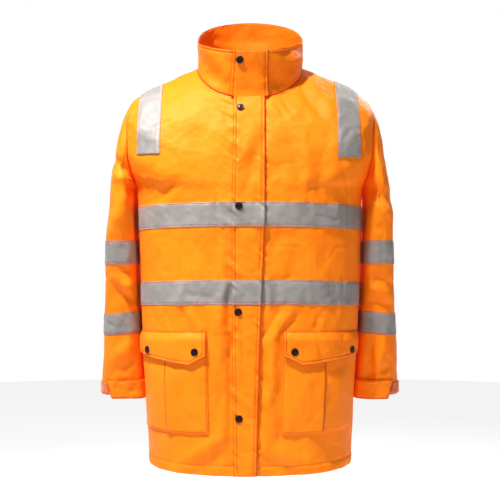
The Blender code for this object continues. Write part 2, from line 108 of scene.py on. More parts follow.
# Sleeves: out is the outside of the arm and in the inside of it; each row is one ring round the arm
Ring = namedtuple("Ring", "name drop out_x in_x in_drop mid_y half_depth squareness")
SLEEVE = (
    Ring("armhole", 0.078, 0.2565, 0.2430, 0.262, 0.000, 0.068, 2.0),
    Ring("cap", 0.099, 0.2688, 0.2440, 0.268, 0.002, 0.074, 2.0),
    Ring("cap_side", 0.125, 0.2768, 0.2450, 0.274, 0.004, 0.082, 2.0),
    Ring("crown", 0.160, 0.2852, 0.2458, 0.281, 0.008, 0.090, 2.2),
    Ring("upper_arm", 0.252, 0.2990, 0.2465, 0.306, 0.016, 0.103, 2.7),
    Ring("biceps", 0.329, 0.3060, 0.2460, 0.346, 0.022, 0.105, 3.0),
    Ring("tape_top", 0.374, 0.3090, 0.2450, 0.374, 0.026, 0.102, 3.1),
    Ring("tape_bottom", 0.424, 0.3112, 0.2430, 0.424, 0.029, 0.096, 3.1),
    Ring("elbow", 0.530, 0.3158, 0.2380, 0.524, 0.032, 0.080, 2.9),
    Ring("forearm", 0.640, 0.3196, 0.2302, 0.638, 0.029, 0.064, 2.7),
    Ring("cuff", 0.705, 0.3226, 0.2250, 0.705, 0.026, 0.053, 2.5),
    Ring("past_the_cuff", 0.722, 0.3232, 0.2243, 0.722, 0.025, 0.051, 2.5),
)
CUFF_DROP = 0.705
SLEEVE_TAPES = ((0.374, 0.424), (0.530, 0.576))
ARMHOLE_FADE = 0.252

# The storm flap, and the studs that close it
Edge = namedtuple("Edge", "name drop right_x left_x")
STORM_FLAP = (
    Edge("rim", -0.094, -0.0310, 0.0340),
    Edge("neck", 0.000, -0.0340, 0.0320),
    Edge("chest", 0.300, -0.0365, 0.0315),
    Edge("waist", 0.520, -0.0365, 0.0235),
    Edge("hem", 0.845, -0.0325, 0.0140),
)
Stud = namedtuple("Stud", "name drop x")
FLAP_STUDS = (
    Stud("collar", -0.075, -0.0173),
    Stud("chest", 0.022, -0.0195),
    Stud("tape", 0.313, -0.0224),
    Stud("waist", 0.527, -0.0239),
    Stud("hem", 0.734, -0.0222),
)

# Pockets: azimuths of the inner edge, the pleat and the outer edge, in degrees
Pocket = namedtuple("Pocket", "side inner pleat outer inner_stud outer_stud")
POCKETS = {
    -1: Pocket("right", 16.7, 44.0, 80.0, 22.8, 61.4),
    1: Pocket("left", 11.7, 36.5, 74.5, 17.2, 60.8),
}
POCKET_TOP = 0.574
POCKET_BOTTOM = 0.765
POCKET_FLAP_TOP = 0.565
POCKET_FLAP_END = 0.625
PLEAT_LAP = 0.0026
PLEAT_RADIUS = 0.17
INNER_STUD_DROP = 0.606
OUTER_STUD_DROP = 0.603
FLAP_SHARES = (0.0, 0.155, 1.0)
FLAP_HANGS = (0.050, 0.068, 0.046)

# Shoulder tapes: their two sides, and how low their ends reach
ShoulderTape = namedtuple("ShoulderTape", "inner outer end")
SHOULDER_TAPES = {
    -1: ShoulderTape(0.186, 0.2355, -0.196),
    1: ShoulderTape(0.181, 0.2300, -0.203),
}

# Cuff tabs and their hook-and-loop strips: angles round the cuff from its outside, in degrees
TAB_DROPS = (0.671, 0.713)
TAB_ENDS = (52.0, 70.0)
TAB_INNER_END = 176.0
STRIP_DROPS = (0.679, 0.702)
STRIP_BACK_END = -48.0
STRIP_CLEARANCE = 3.0

# Grid lines beside a stitched edge and beside a plain seam, and the pitch of the grids between
STITCHED = (0.0, 0.0007, 0.0015, 0.0024, 0.0032, 0.0041, 0.0052, 0.0064, 0.0076, 0.0092)
PLAIN = (0.0, 0.0007, 0.0016, 0.0028, 0.0045)
FRONT_PITCH = 0.0042
BACK_PITCH = 0.0055
SLEEVE_PITCH = 0.0046
TRIM_PITCH = 0.0034
COLLAR_PITCH = 0.0031
YOKE_ROW_PITCH = 0.0022
PANEL_ROW_PITCH = 0.0036
FLAP_ROW_PITCH = 0.0028
ARMHOLE_ROWS = 62
SLEEVE_COLUMNS = 129
SHOULDER_TAPE_ROWS = 111

# Stitching: distances of the rows from an edge, the thread, how it presses the cloth, and the width of the
# shadow painted along edges and stitching
TOP_STITCH = 0.0028
NEAR_STITCH = TOP_STITCH * 0.6
SECOND_STITCH = 0.0068
FRONT_STITCH = TOP_STITCH + 0.002
COLLAR_TOP_STITCH = 0.0062
COLLAR_BASE_STITCH = 0.0050
STRIP_STITCH = 0.0022
HEM_STITCH = 0.020
HEM_LINES = (*STITCHED, *(HEM_STITCH + np.array((-0.0025, -0.0012, 0.0, 0.0012, 0.0025))))
HEM_PRESS = 0.0009
STITCH_PITCH = 0.0040
STITCH_LENGTH = 0.0031
THREAD = 0.00036
STITCH_PRESS = 1.5
STITCH_GROOVE = 0.0014
EDGE_SHADE = 0.0012

# Folds, seen from the front or the back: a line from one end to the other, its half width, and how
# far it rises (a ridge) or sinks (a trough), in metres and millimetres
Fold = namedtuple("Fold", "name x1 z1 x2 z2 width rise")
FOLD_DEPTH = 0.0019
FRONT_FOLDS = (
    Fold("fan_upper", -0.074, -0.078, -0.036, -0.098, 0.0040, -1.7),
    Fold("fan_middle", -0.088, -0.084, -0.038, -0.110, 0.0045, -2.0),
    Fold("fan_lower", -0.066, -0.104, -0.037, -0.124, 0.0040, -1.5),
    Fold("fan_ridge", -0.080, -0.090, -0.040, -0.118, 0.0050, 1.5),
    Fold("fan_last", -0.056, -0.122, -0.037, -0.140, 0.0050, -1.2),
    Fold("left_collarbone", 0.108, -0.060, 0.168, -0.128, 0.0110, -3.0),
    Fold("left_collarbone_ridge", 0.132, -0.050, 0.186, -0.112, 0.0120, 2.2),
    Fold("left_neck_fan", 0.050, -0.092, 0.074, -0.122, 0.0050, -1.4),
    Fold("left_neck_fan_short", 0.068, -0.084, 0.088, -0.104, 0.0045, -1.2),
    Fold("flap_diagonal", 0.028, -0.150, -0.014, -0.280, 0.0120, -2.2),
    Fold("flap_diagonal_ridge", 0.008, -0.140, -0.030, -0.236, 0.0110, 1.4),
    Fold("right_chest_drape", -0.150, -0.150, -0.094, -0.270, 0.0200, 1.8),
    Fold("right_chest_hollow", -0.112, -0.130, -0.070, -0.240, 0.0200, -1.6),
    Fold("left_chest_drape", 0.078, -0.150, 0.106, -0.265, 0.0160, -1.8),
    Fold("left_chest_fold", 0.100, -0.140, 0.126, -0.240, 0.0130, 1.6),
    Fold("left_chest_side", 0.150, -0.190, 0.138, -0.280, 0.0150, -1.8),
    Fold("right_side_pull", -0.196, -0.290, -0.140, -0.250, 0.0120, -1.6),
    Fold("right_middle_ridge", -0.060, -0.372, -0.052, -0.446, 0.0100, 1.8),
    Fold("right_middle_hollow", -0.108, -0.380, -0.078, -0.448, 0.0160, -2.2),
    Fold("left_middle_drape", 0.070, -0.372, 0.104, -0.446, 0.0140, -2.0),
    Fold("left_middle_ridge", 0.120, -0.368, 0.142, -0.440, 0.0160, 1.8),
    Fold("right_tape_glint", -0.140, -0.462, -0.142, -0.512, 0.0090, 2.0),
    Fold("right_tape_ridge", -0.056, -0.440, -0.052, -0.560, 0.0080, 2.6),
    Fold("right_flap_gutter", -0.041, -0.430, -0.041, -0.800, 0.0060, -2.2),
    Fold("left_tape_ridge", 0.040, -0.452, 0.036, -0.520, 0.0060, 2.2),
    Fold("left_tape_hollow", 0.060, -0.450, 0.052, -0.522, 0.0080, -1.8),
    Fold("left_streak", 0.070, -0.506, 0.030, -0.566, 0.0060, -2.0),
    Fold("left_streak_ridge", 0.088, -0.512, 0.046, -0.576, 0.0070, 1.9),
    Fold("left_streak_low", 0.102, -0.520, 0.064, -0.560, 0.0060, -1.4),
    Fold("left_panel_ridge", 0.050, -0.540, 0.042, -0.770, 0.0120, 4.2),
    Fold("left_panel_gutter", 0.027, -0.560, 0.022, -0.790, 0.0070, -2.2),
    Fold("right_panel_ridge", -0.064, -0.500, -0.058, -0.668, 0.0120, 3.6),
    Fold("right_panel_low", -0.072, -0.680, -0.048, -0.800, 0.0100, 2.4),
    Fold("right_panel_hollow", -0.054, -0.600, -0.068, -0.740, 0.0080, -1.6),
    Fold("pocket_pull", -0.138, -0.512, -0.118, -0.562, 0.0055, -1.7),
    Fold("pocket_pull_ridge", -0.126, -0.514, -0.104, -0.560, 0.0060, 1.6),
    Fold("pocket_pull_side", -0.176, -0.520, -0.158, -0.556, 0.0070, -1.4),
    Fold("left_pocket_pull", 0.150, -0.514, 0.132, -0.556, 0.0070, -1.4),
    Fold("right_hem_drape", -0.150, -0.842, -0.044, -0.772, 0.0150, 2.6),
    Fold("right_hem_hollow", -0.110, -0.852, -0.050, -0.806, 0.0110, -1.8),
    Fold("left_hem_drape", 0.040, -0.800, 0.150, -0.846, 0.0170, 2.4),
    Fold("left_hem_hollow", 0.028, -0.828, 0.100, -0.852, 0.0120, -1.8),
)
BACK_FOLDS = (
    Fold("nape", -0.070, 0.000, 0.066, -0.004, 0.0120, -2.4),
    Fold("right_blade", -0.186, -0.130, -0.104, -0.252, 0.0170, 3.0),
    Fold("left_blade", 0.180, -0.150, 0.112, -0.262, 0.0160, 2.6),
    Fold("right_armhole_pull", -0.214, -0.210, -0.140, -0.250, 0.0100, -2.6),
    Fold("left_armhole_pull", 0.212, -0.224, 0.150, -0.272, 0.0110, -2.4),
    Fold("spine", 0.006, -0.110, -0.004, -0.300, 0.0220, -2.6),
    Fold("waist_right", -0.180, -0.398, -0.060, -0.436, 0.0110, -2.6),
    Fold("waist_middle", -0.080, -0.384, 0.060, -0.402, 0.0120, 2.2),
    Fold("waist_left", 0.060, -0.424, 0.190, -0.392, 0.0110, -2.4),
    Fold("seat_right", -0.110, -0.520, -0.090, -0.800, 0.0190, 4.0),
    Fold("seat_middle", 0.016, -0.520, 0.010, -0.840, 0.0180, -3.4),
    Fold("seat_left", 0.090, -0.530, 0.116, -0.830, 0.0200, 3.6),
    Fold("seat_side", -0.176, -0.560, -0.160, -0.840, 0.0150, -2.8),
    Fold("hem_left", 0.050, -0.700, 0.048, -0.850, 0.0130, -2.4),
)
COLLAR_FOLDS = (
    Fold("right_dent", -0.090, -0.010, -0.058, -0.046, 0.0170, -4.6),
    Fold("right_dent_ridge", -0.046, -0.004, -0.040, -0.050, 0.0080, 1.6),
    Fold("left_dent", 0.044, -0.030, 0.072, -0.056, 0.0150, -3.8),
    Fold("left_dent_ridge", 0.080, -0.010, 0.090, -0.050, 0.0100, 1.8),
    Fold("left_rim_crumple", 0.058, 0.016, 0.096, 0.034, 0.0080, -4.4),
    Fold("left_rim_fold", 0.074, 0.000, 0.104, 0.014, 0.0070, 1.8),
    Fold("right_side_fold", -0.108, 0.030, -0.092, -0.010, 0.0090, -2.2),
)
RIGHT_SLEEVE_FOLDS = (
    Fold("armhole_triangle", 0.246, -0.226, 0.298, -0.200, 0.0090, -5.5),
    Fold("armhole_triangle_ridge", 0.248, -0.252, 0.296, -0.232, 0.0110, 3.8),
    Fold("armhole_small", 0.236, -0.250, 0.256, -0.268, 0.0060, -3.0),
    Fold("upper_drape", 0.262, -0.290, 0.292, -0.352, 0.0140, 2.6),
    Fold("upper_hollow", 0.284, -0.270, 0.306, -0.340, 0.0120, -2.2),
    Fold("elbow_crease", 0.228, -0.520, 0.262, -0.497, 0.0075, -8.0),
    Fold("elbow_crease_tail", 0.258, -0.500, 0.290, -0.468, 0.0090, -2.6),
    Fold("elbow_roll", 0.238, -0.484, 0.278, -0.456, 0.0120, 4.6),
    Fold("elbow_upper", 0.244, -0.446, 0.270, -0.430, 0.0080, -3.0),
    Fold("forearm_drape", 0.256, -0.590, 0.300, -0.634, 0.0140, 2.4),
    Fold("forearm_hollow", 0.240, -0.612, 0.272, -0.650, 0.0110, -2.6),
    Fold("cuff_pull", 0.286, -0.640, 0.304, -0.672, 0.0100, -1.8),
)
LEFT_SLEEVE_FOLDS = (
    Fold("armhole_hollow", 0.250, -0.262, 0.296, -0.286, 0.0130, -5.0),
    Fold("armhole_roll", 0.262, -0.298, 0.304, -0.330, 0.0130, 4.4),
    Fold("shoulder_drape", 0.268, -0.150, 0.292, -0.220, 0.0130, -2.6),
    Fold("upper_small", 0.252, -0.338, 0.280, -0.352, 0.0080, -2.4),
    Fold("elbow_upper", 0.246, -0.442, 0.302, -0.470, 0.0110, -3.4),
    Fold("elbow_roll", 0.248, -0.462, 0.300, -0.492, 0.0110, 3.2),
    Fold("elbow_lower", 0.240, -0.502, 0.286, -0.512, 0.0080, -3.2),
    Fold("forearm_ridge", 0.284, -0.590, 0.272, -0.676, 0.0100, 3.4),
    Fold("forearm_hollow", 0.262, -0.580, 0.254, -0.660, 0.0090, -2.6),
    Fold("cuff_pull", 0.250, -0.664, 0.300, -0.640, 0.0090, -2.4),
)
SLEEVE_BACK_FOLDS = (
    Fold("shoulder_pull", 0.252, -0.190, 0.290, -0.236, 0.0120, -3.4),
    Fold("upper_roll", 0.256, -0.262, 0.300, -0.300, 0.0140, 3.0),
    Fold("elbow_first", 0.244, -0.462, 0.296, -0.446, 0.0090, -3.6),
    Fold("elbow_second", 0.242, -0.496, 0.304, -0.488, 0.0090, -4.4),
    Fold("elbow_roll", 0.246, -0.478, 0.300, -0.468, 0.0090, 3.0),
    Fold("elbow_third", 0.244, -0.530, 0.290, -0.542, 0.0100, -3.0),
    Fold("forearm", 0.250, -0.600, 0.300, -0.640, 0.0120, -2.4),
)

# Gathers beside a seam: how far they reach, the cell of their noise, their height and its seed
Gather = namedtuple("Gather", "reach cell height seed")
STORM_FLAP_GATHER = Gather(0.014, (0.05, 0.05, 0.0080), 0.0036, 8)
BODY_TAPE_GATHER = Gather(0.012, (0.0100, 0.0100, 0.05), 0.0018, 9)
HEM_GATHER = Gather(0.016, (0.013, 0.013, 0.06), 0.0020, 10)
ARMHOLE_GATHER = Gather(0.012, 0.0100, 0.0018, 11)
COLLAR_FLAP_GATHER = Gather(0.010, (0.05, 0.05, 0.0080), 0.0010, 8)
RIM_GATHER = Gather(0.008, (0.009, 0.009, 0.05), 0.0009, 16)
SLEEVE_TAPE_GATHER = Gather(0.009, (0.0085, 0.0085, 0.05), 0.0011, 17)
CUFF_GATHER = Gather(0.012, (0.010, 0.010, 0.05), 0.0010, 18)
SLEEVE_HEAD_GATHER = Gather(0.010, 0.0080, 0.0011, 19)

# The unevenness of worn cloth, and its thin creases: the cells, height and seed of each layer of noise
SWELLS = (
    ((0.095, 0.095, 0.150), 0.0034, 1),
    ((0.034, 0.034, 0.070), 0.0018, 2),
    ((0.016, 0.016, 0.026), 0.0009, 3),
    (0.0090, 0.00038, 4),
)
CREASES = (((0.070, 0.070, 0.120), 0.0016, 31), ((0.045, 0.045, 0.060), 0.0011, 32))
CREASE_WIDTH = 0.085
COLLAR_SWELLS = (((0.050, 0.050, 0.035), 0.0018, 12), (0.020, 0.0008, 13), (0.009, 0.00025, 14))
# How much calmer the sides of the body are, and the inner and outer sides of the sleeves
SIDE_CALM = 0.82
INNER_CALM = 0.88
OUTER_CALM = 0.55
# The sleeves' unevenness against the body's, and how far their fronts fill out towards the body
SLEEVE_SWELL = 1.3
SLEEVE_CORNER = 0.0050


def sample(table, drop):
    """The table's rows at these drops, on smooth curves that never overshoot them."""
    rows = np.array([row[1:] for row in table])
    steps = np.diff(rows, axis=0)
    slopes = steps / steps[:, :1]
    before, after = slopes[:-1], slopes[1:]
    total = np.where(before * after > 0, before + after, 1.0)
    turns = np.where(before * after > 0, 2 * before * after / total, 0.0)
    slopes = np.vstack([slopes[:1], turns, slopes[-1:]])
    i = np.clip(np.searchsorted(rows[:, 0], drop) - 1, 0, len(rows) - 2)
    span = (rows[i + 1, 0] - rows[i, 0])[..., None]
    t = (np.asarray(drop) - rows[i, 0])[..., None] / span
    value = (2 * t**3 - 3 * t**2 + 1) * rows[i] + (3 * t**2 - 2 * t**3) * rows[i + 1]
    value += span * ((t**3 - 2 * t**2 + t) * slopes[i] + (t**3 - t**2) * slopes[i + 1])
    return table[0]._make(["", *np.moveaxis(value, -1, 0)])


def power(value, squareness):
    """A superellipse's coordinate from a sine or cosine."""
    return np.sign(value) * np.abs(value) ** (2 / squareness)


def section_point(section, azimuth):
    """A point round a section of the body, whose front and back hang lower or higher than its sides."""
    ahead, aside = np.cos(azimuth), np.sin(azimuth)
    depth = np.where(ahead > 0, section.front, section.back)
    level = np.where(ahead > 0, section.front_z, section.back_z)
    x = section.half_width * power(aside, section.squareness)
    y = -depth * power(ahead, section.squareness)
    z = -section.drop + (level + section.drop) * np.abs(ahead) ** section.ease
    return np.stack(np.broadcast_arrays(x, y, z), axis=-1)


def trunk_point(azimuth, drop):
    """A point of the body, or of the collar where the drop is negative."""
    azimuth, drop = np.broadcast_arrays(np.asarray(azimuth, float), np.asarray(drop, float))
    body = section_point(sample(BODY, np.maximum(drop, 0)), azimuth)
    share = (np.maximum(-drop, 0) / COLLAR_HEIGHT)[..., None]
    neck = section_point(BODY[0], azimuth)
    collar = (1 - share) * neck + share * section_point(RIM, azimuth)
    return np.where(drop[..., None] < 0, collar, body)


def azimuth_at(x, drop):
    """The azimuth on the front of the body or the collar where it reaches this x."""
    section = sample(BODY, np.maximum(drop, 0))
    half_width = np.where(np.asarray(drop) < 0, RIM.half_width, section.half_width)
    squareness = np.where(np.asarray(drop) < 0, RIM.squareness, section.squareness)
    share = np.minimum(1, np.abs(x) / half_width)
    return np.sign(x) * np.arcsin(share ** (squareness / 2))


def armhole_azimuth(drop, half_depth):
    """How far round a panel reaches before the armhole; a quarter turn above and below it."""
    share = (drop - SHOULDER_DROP) / (UNDERARM_DROP - SHOULDER_DROP)
    section = sample(BODY, drop)
    reach = 2 * half_depth * np.sqrt(np.maximum(0, share * (1 - share)))
    depth = np.where(half_depth == ARMHOLE_FRONT, section.front, section.back)
    return np.arccos((reach / depth) ** (section.squareness / 2))


def armhole_drop(angle):
    return SHOULDER_DROP + (UNDERARM_DROP - SHOULDER_DROP) * (1 - np.cos(angle)) / 2


def armhole_point(angle):
    """A point of the left armhole's seam; 0 is the shoulder point and a quarter turn its front."""
    drop = armhole_drop(angle)
    ahead = np.sin(angle) >= 0
    reach = armhole_azimuth(drop, np.where(ahead, ARMHOLE_FRONT, ARMHOLE_BACK))
    return section_point(sample(BODY, drop), np.where(ahead, reach, np.pi - reach))


def ring_point(ring, angle):
    """A point round a ring of the sleeve: 0 is the outside of the arm and a quarter turn its front."""
    shape = np.broadcast_arrays(ring.out_x + 0 * angle, ring.mid_y, ring.drop, ring.in_x, ring.in_drop)
    out_x, mid_y, drop, in_x, in_drop = shape
    across = power(np.cos(angle), ring.squareness)
    x = (out_x + in_x) / 2 + across * (out_x - in_x) / 2
    y = mid_y - ring.half_depth * power(np.sin(angle), ring.squareness)
    z = -(drop + in_drop) / 2 - across * (drop - in_drop) / 2
    return np.stack(np.broadcast_arrays(x, y, z), axis=-1)


def sleeve_point(angle, drop):
    """A point of the left sleeve. Its top follows the armhole, and its ovals take over."""
    angle, drop = np.broadcast_arrays(np.asarray(angle, float), np.asarray(drop, float))
    place = ring_point(sample(SLEEVE, drop), angle)
    fade = np.clip((ARMHOLE_FADE - drop) / (ARMHOLE_FADE - SHOULDER_DROP), 0, 1.1) ** 2
    return place + fade[..., None] * (armhole_point(angle) - ring_point(SLEEVE[0], angle))


LATTICE = np.random.default_rng(20).uniform(-1, 1, (32, 32, 32))


def noise(points, size, seed=0):
    """Smooth noise between -1 and 1, in cells of this size."""
    cell = points / np.asarray(size) + 7.31 * seed
    low = np.floor(cell).astype(int)
    t = cell - low
    t = t**3 * (t * (t * 6 - 15) + 10)
    total = np.zeros(points.shape[:-1])
    for corner in itertools.product((0, 1), repeat=3):
        weight = np.prod(np.where(corner, t, 1 - t), axis=-1)
        i, j, k = np.moveaxis((low + corner) % len(LATTICE), -1, 0)
        total += weight * LATTICE[i, j, k]
    return total


def smooth(value):
    """0 below 0, 1 above 1, and a soft rise between."""
    value = np.clip(value, 0, 1)
    return value * value * (3 - 2 * value)


def bell(away, width):
    """1 where away is 0, falling off on both sides over a width."""
    return np.exp(-((away / width) ** 2))


def layered(points, layers):
    """Layers of noise, each with its cell, height and seed."""
    return sum(height * noise(points, cell, seed) for cell, height, seed in layers)


def folded(table, points):
    """The relief of a table of folds, whose lines waver a little."""
    x = points[..., 0] + 0.005 * noise(points, 0.040, 5)
    z = points[..., 2] + 0.005 * noise(points, 0.036, 6)
    relief = np.zeros(x.shape)
    for fold in table:
        along_x, along_z = fold.x2 - fold.x1, fold.z2 - fold.z1
        share = ((x - fold.x1) * along_x + (z - fold.z1) * along_z) / (along_x**2 + along_z**2)
        share = np.clip(share, 0, 1)
        away = np.hypot(x - fold.x1 - share * along_x, z - fold.z1 - share * along_z)
        strength = np.sin(np.pi * (0.14 + 0.72 * share))
        relief += FOLD_DEPTH * fold.rise * strength * bell(away, fold.width)
    return relief


def puckers(points, away, gather):
    """Small gathers of the cloth beside a seam, which die away over their reach."""
    return gather.height * noise(points, gather.cell, gather.seed) * np.exp(-np.abs(away) / gather.reach)


def cloth_swell(points):
    """The soft unevenness of worn cloth: long hollows down to a fine crackle."""
    relief = layered(points, SWELLS)
    for cell, depth, seed in CREASES:
        present = smooth(0.5 + 1.6 * noise(points, 0.080, seed + 5))
        relief -= depth * present * bell(noise(points, cell, seed), CREASE_WIDTH)
    return relief


def from_armhole(points):
    """How far the points are from the seam of their own armhole."""
    beside = points.copy()
    beside[..., 0] = np.abs(points[..., 0])
    seam = armhole_point(np.linspace(0, 2 * np.pi, 97))
    return np.min([np.linalg.norm(beside - place, axis=-1) for place in seam], axis=0)


def body_relief(points, drop):
    """The relief of the body, which dies away at its seams and is calmer at its sides."""
    x, y, _ = np.moveaxis(points, -1, 0)
    front = smooth(0.5 - y / 0.06)
    relief = cloth_swell(points) + front * folded(FRONT_FOLDS, points)
    relief += (1 - front) * folded(BACK_FOLDS, points)
    edge = sample(STORM_FLAP, drop)
    slanted = points + 0.8 * x[..., None] * (0, 0, 1)
    for side_x in (edge.right_x, edge.left_x):
        relief += front * puckers(slanted, x - side_x, STORM_FLAP_GATHER)
    for line in itertools.chain(*BODY_TAPES):
        relief += puckers(points, drop - line, BODY_TAPE_GATHER)
    relief += puckers(points, HEM_DROP - HEM_STITCH - drop, HEM_GATHER)
    gap = from_armhole(points)
    relief += puckers(points, gap - 0.012, ARMHOLE_GATHER)
    relief *= smooth(gap / 0.020) * smooth(drop / 0.016)
    side = smooth((np.abs(x) - 0.200) / 0.026) * smooth((drop - 0.200) / 0.060)
    return relief * (1 - SIDE_CALM * side)


def collar_relief(points, drop):
    """The relief of the collar, whose front leans out towards its rim."""
    x, y, _ = np.moveaxis(points, -1, 0)
    front = smooth(0.5 - y / 0.04)
    relief = COLLAR_LEAN * front * smooth(-y / 0.09) * (-drop / COLLAR_HEIGHT) ** 1.2
    relief += layered(points, COLLAR_SWELLS) + front * folded(COLLAR_FOLDS, points)
    relief += (1 - front) * 0.0012 * noise(points, (0.09, 0.09, 0.014), 15)
    edge = sample(STORM_FLAP, drop)
    for side_x in (edge.right_x, edge.left_x):
        relief += front * puckers(points, x - side_x, COLLAR_FLAP_GATHER)
    relief += puckers(points, COLLAR_HEIGHT + drop - 0.006, RIM_GATHER)
    return relief * smooth(-drop / 0.020)


def trunk_relief(points, drop):
    """The relief of the body below the neck seam and of the collar above it."""
    drop = np.broadcast_to(drop, points.shape[:-1])
    relief = np.zeros(drop.shape)
    for part, function in ((drop >= 0, body_relief), (drop < 0, collar_relief)):
        relief[part] = function(points[part], drop[part])
    return relief


def sleeve_relief(points, drop):
    """The relief of both sleeves, which keeps clear of the body on their inner side."""
    drop = np.broadcast_to(drop, points.shape[:-1])
    x, y, _ = np.moveaxis(points, -1, 0)
    ring = sample(SLEEVE, drop)
    front = smooth(0.5 - (y - ring.mid_y) / 0.05)
    mirrored = points.copy()
    mirrored[..., 0] = np.abs(x)
    folds = np.where(x < 0, folded(RIGHT_SLEEVE_FOLDS, mirrored), folded(LEFT_SLEEVE_FOLDS, mirrored))
    relief = SLEEVE_SWELL * cloth_swell(points * (1.25, 1.25, 1.1) + (0.3, 0, 0)) + front * folds
    relief += (1 - front) * folded(SLEEVE_BACK_FOLDS, mirrored)
    for line in itertools.chain(*SLEEVE_TAPES):
        relief += puckers(points, drop - line, SLEEVE_TAPE_GATHER)
    relief += puckers(points, CUFF_DROP - HEM_STITCH - drop, CUFF_GATHER)
    below_seam = from_armhole(points)
    relief += puckers(points, below_seam - 0.006, SLEEVE_HEAD_GATHER)
    relief *= smooth(below_seam / 0.016)
    inner = smooth((ring.out_x * 0.30 + ring.in_x * 0.70 - np.abs(x)) / 0.014)
    outer = smooth((np.abs(x) - ring.out_x + 0.016) / 0.014)
    relief *= 1 - INNER_CALM * inner - OUTER_CALM * outer
    towards_body = (ring.out_x + ring.in_x - 2 * np.abs(x)) / (ring.out_x - ring.in_x)
    ahead = (ring.mid_y - y) / ring.half_depth
    corner = bell(towards_body - 0.74, 0.34) * bell(ahead - 0.80, 0.22)
    return relief + SLEEVE_CORNER * corner * smooth((drop - 0.250) / 0.060)


Form = namedtuple("Form", "place relief")
TRUNK = Form(trunk_point, trunk_relief)
# How far either side of a point its directions are measured
STEP = 0.002
ASIDE = 0.006


def mirrored_sleeve(angle, drop):
    return sleeve_point(-angle, drop) * (-1, 1, 1)


SLEEVES = {1: Form(sleeve_point, sleeve_relief), -1: Form(mirrored_sleeve, sleeve_relief)}


def flap_point(share, drop):
    """A point over the front opening: share 0 is the storm flap's free edge and 1 its sewn edge."""
    edge = sample(STORM_FLAP, drop)
    return trunk_point(azimuth_at(edge.right_x + (edge.left_x - edge.right_x) * share, drop), drop)


STORM = Form(flap_point, trunk_relief)


def unit(vectors):
    """The vectors, each made one long."""
    return vectors / np.linalg.norm(vectors, axis=-1, keepdims=True)


def measured(points, axis):
    """How far each point is along its row or column, in metres."""
    steps = np.linalg.norm(np.diff(points, axis=axis), axis=-1)
    start = np.zeros_like(np.take(steps, [0], axis=axis))
    return np.concatenate([start, np.cumsum(steps, axis=axis)], axis=axis)


def spaced(lengths, pitch, low, high):
    """Places along each length: the given ones beside its two ends, and even ones between."""
    lengths = np.atleast_1d(lengths)[:, None]
    middle = lengths - low[-1] - high[-1]
    count = max(2, math.ceil(np.max(middle) / pitch))
    inner = low[-1] + middle * np.linspace(0, 1, count + 1)[1:-1]
    rows = len(lengths)
    lows = np.broadcast_to(low, (rows, len(low)))
    return np.concatenate([lows, inner, lengths - np.array(high[::-1])], axis=1)


def levels(top, bottom, pitch, low=PLAIN, high=PLAIN):
    """Drops from a piece's top to its bottom."""
    return top + spaced(bottom - top, pitch, low, high)[0]


def across_row(form, start, end, drops, pitch, low, high):
    """Even places across each row of a piece, from its start to its end."""
    share = (1 - np.cos(np.linspace(0, np.pi, 401))) / 2
    start, end = (np.broadcast_to(np.asarray(value, float), drops.shape) for value in (start, end))
    across = start[:, None] + (end - start)[:, None] * share
    length = measured(form.place(across, drops[:, None]), axis=1)
    places = spaced(length[:, -1], pitch, low, high)
    return np.array([np.interp(*row) for row in zip(places, length, across)])


class Cloth:
    """The grid of a piece's outer face. Its rows run so that across x along points out."""

    def __init__(self, form, across, drop, height=0.0):
        across, drop = np.broadcast_arrays(across, drop)
        self.form, self.across, self.drop = form, across, drop
        self.base = form.place(across, drop)
        turn = np.sign(across[0, -1] - across[0, 0])
        rise = np.sign(drop[-1, 0] - drop[0, 0])
        aside = turn * ASIDE
        sideways = form.place(across + aside, drop) - form.place(across - aside, drop)
        onward = form.place(across, drop + rise * STEP) - form.place(across, drop - rise * STEP)
        self.outward = unit(np.cross(sideways, onward))
        self.u = measured(self.base, axis=1)
        self.v = measured(self.base, axis=0)
        self.height = np.zeros(drop.shape) + height
        self.relief = form.relief(self.base, drop)
        # The shadow painted along the edges, pleats and stitching; along the stitching it also stands for the
        # darker stitch holes
        self.seam = np.zeros(drop.shape)

    def from_edge(self, sides):
        """How far each point is from the nearest of these sides: l, r, b (first row) and t (last)."""
        distances = {
            "l": self.u,
            "r": self.u[:, -1:] - self.u,
            "b": self.v,
            "t": self.v[-1:] - self.v,
        }
        return np.min([distances[side] for side in sides], axis=0)

    def turn_in(self, sides, depth=0.0010, radius=0.0014):
        """Rounds the cloth down at these edges, and paints a thin shadow along them."""
        away = self.from_edge(sides)
        self.height -= depth * bell(away, radius)
        self.seam = np.maximum(self.seam, bell(away, EDGE_SHADE))
        return self

    def sew(self, sides, *rows, depth=0.0010):
        """Presses in the cloth along the stitching at these distances from its edges, and darkens it there:
        partly the stitch holes, partly painted shade.
        """
        for row in rows:
            away = self.from_edge(sides) - row
            self.seam = np.maximum(self.seam, 0.55 * bell(away, EDGE_SHADE))
            self.height -= STITCH_PRESS * depth * bell(away, STITCH_GROOVE)
        return self

    @property
    def points(self):
        return self.base + (self.relief + self.height)[..., None] * self.outward

    @property
    def flat(self):
        """The piece's width and length laid flat, and its area, before its folds."""
        sideways = np.diff(self.base, axis=1)[:-1]
        onward = np.diff(self.base, axis=0)[:, :-1]
        area = np.linalg.norm(np.cross(sideways, onward), axis=-1).sum()
        return float(self.u[:, -1].max()), float(self.v[-1].max()), float(area)


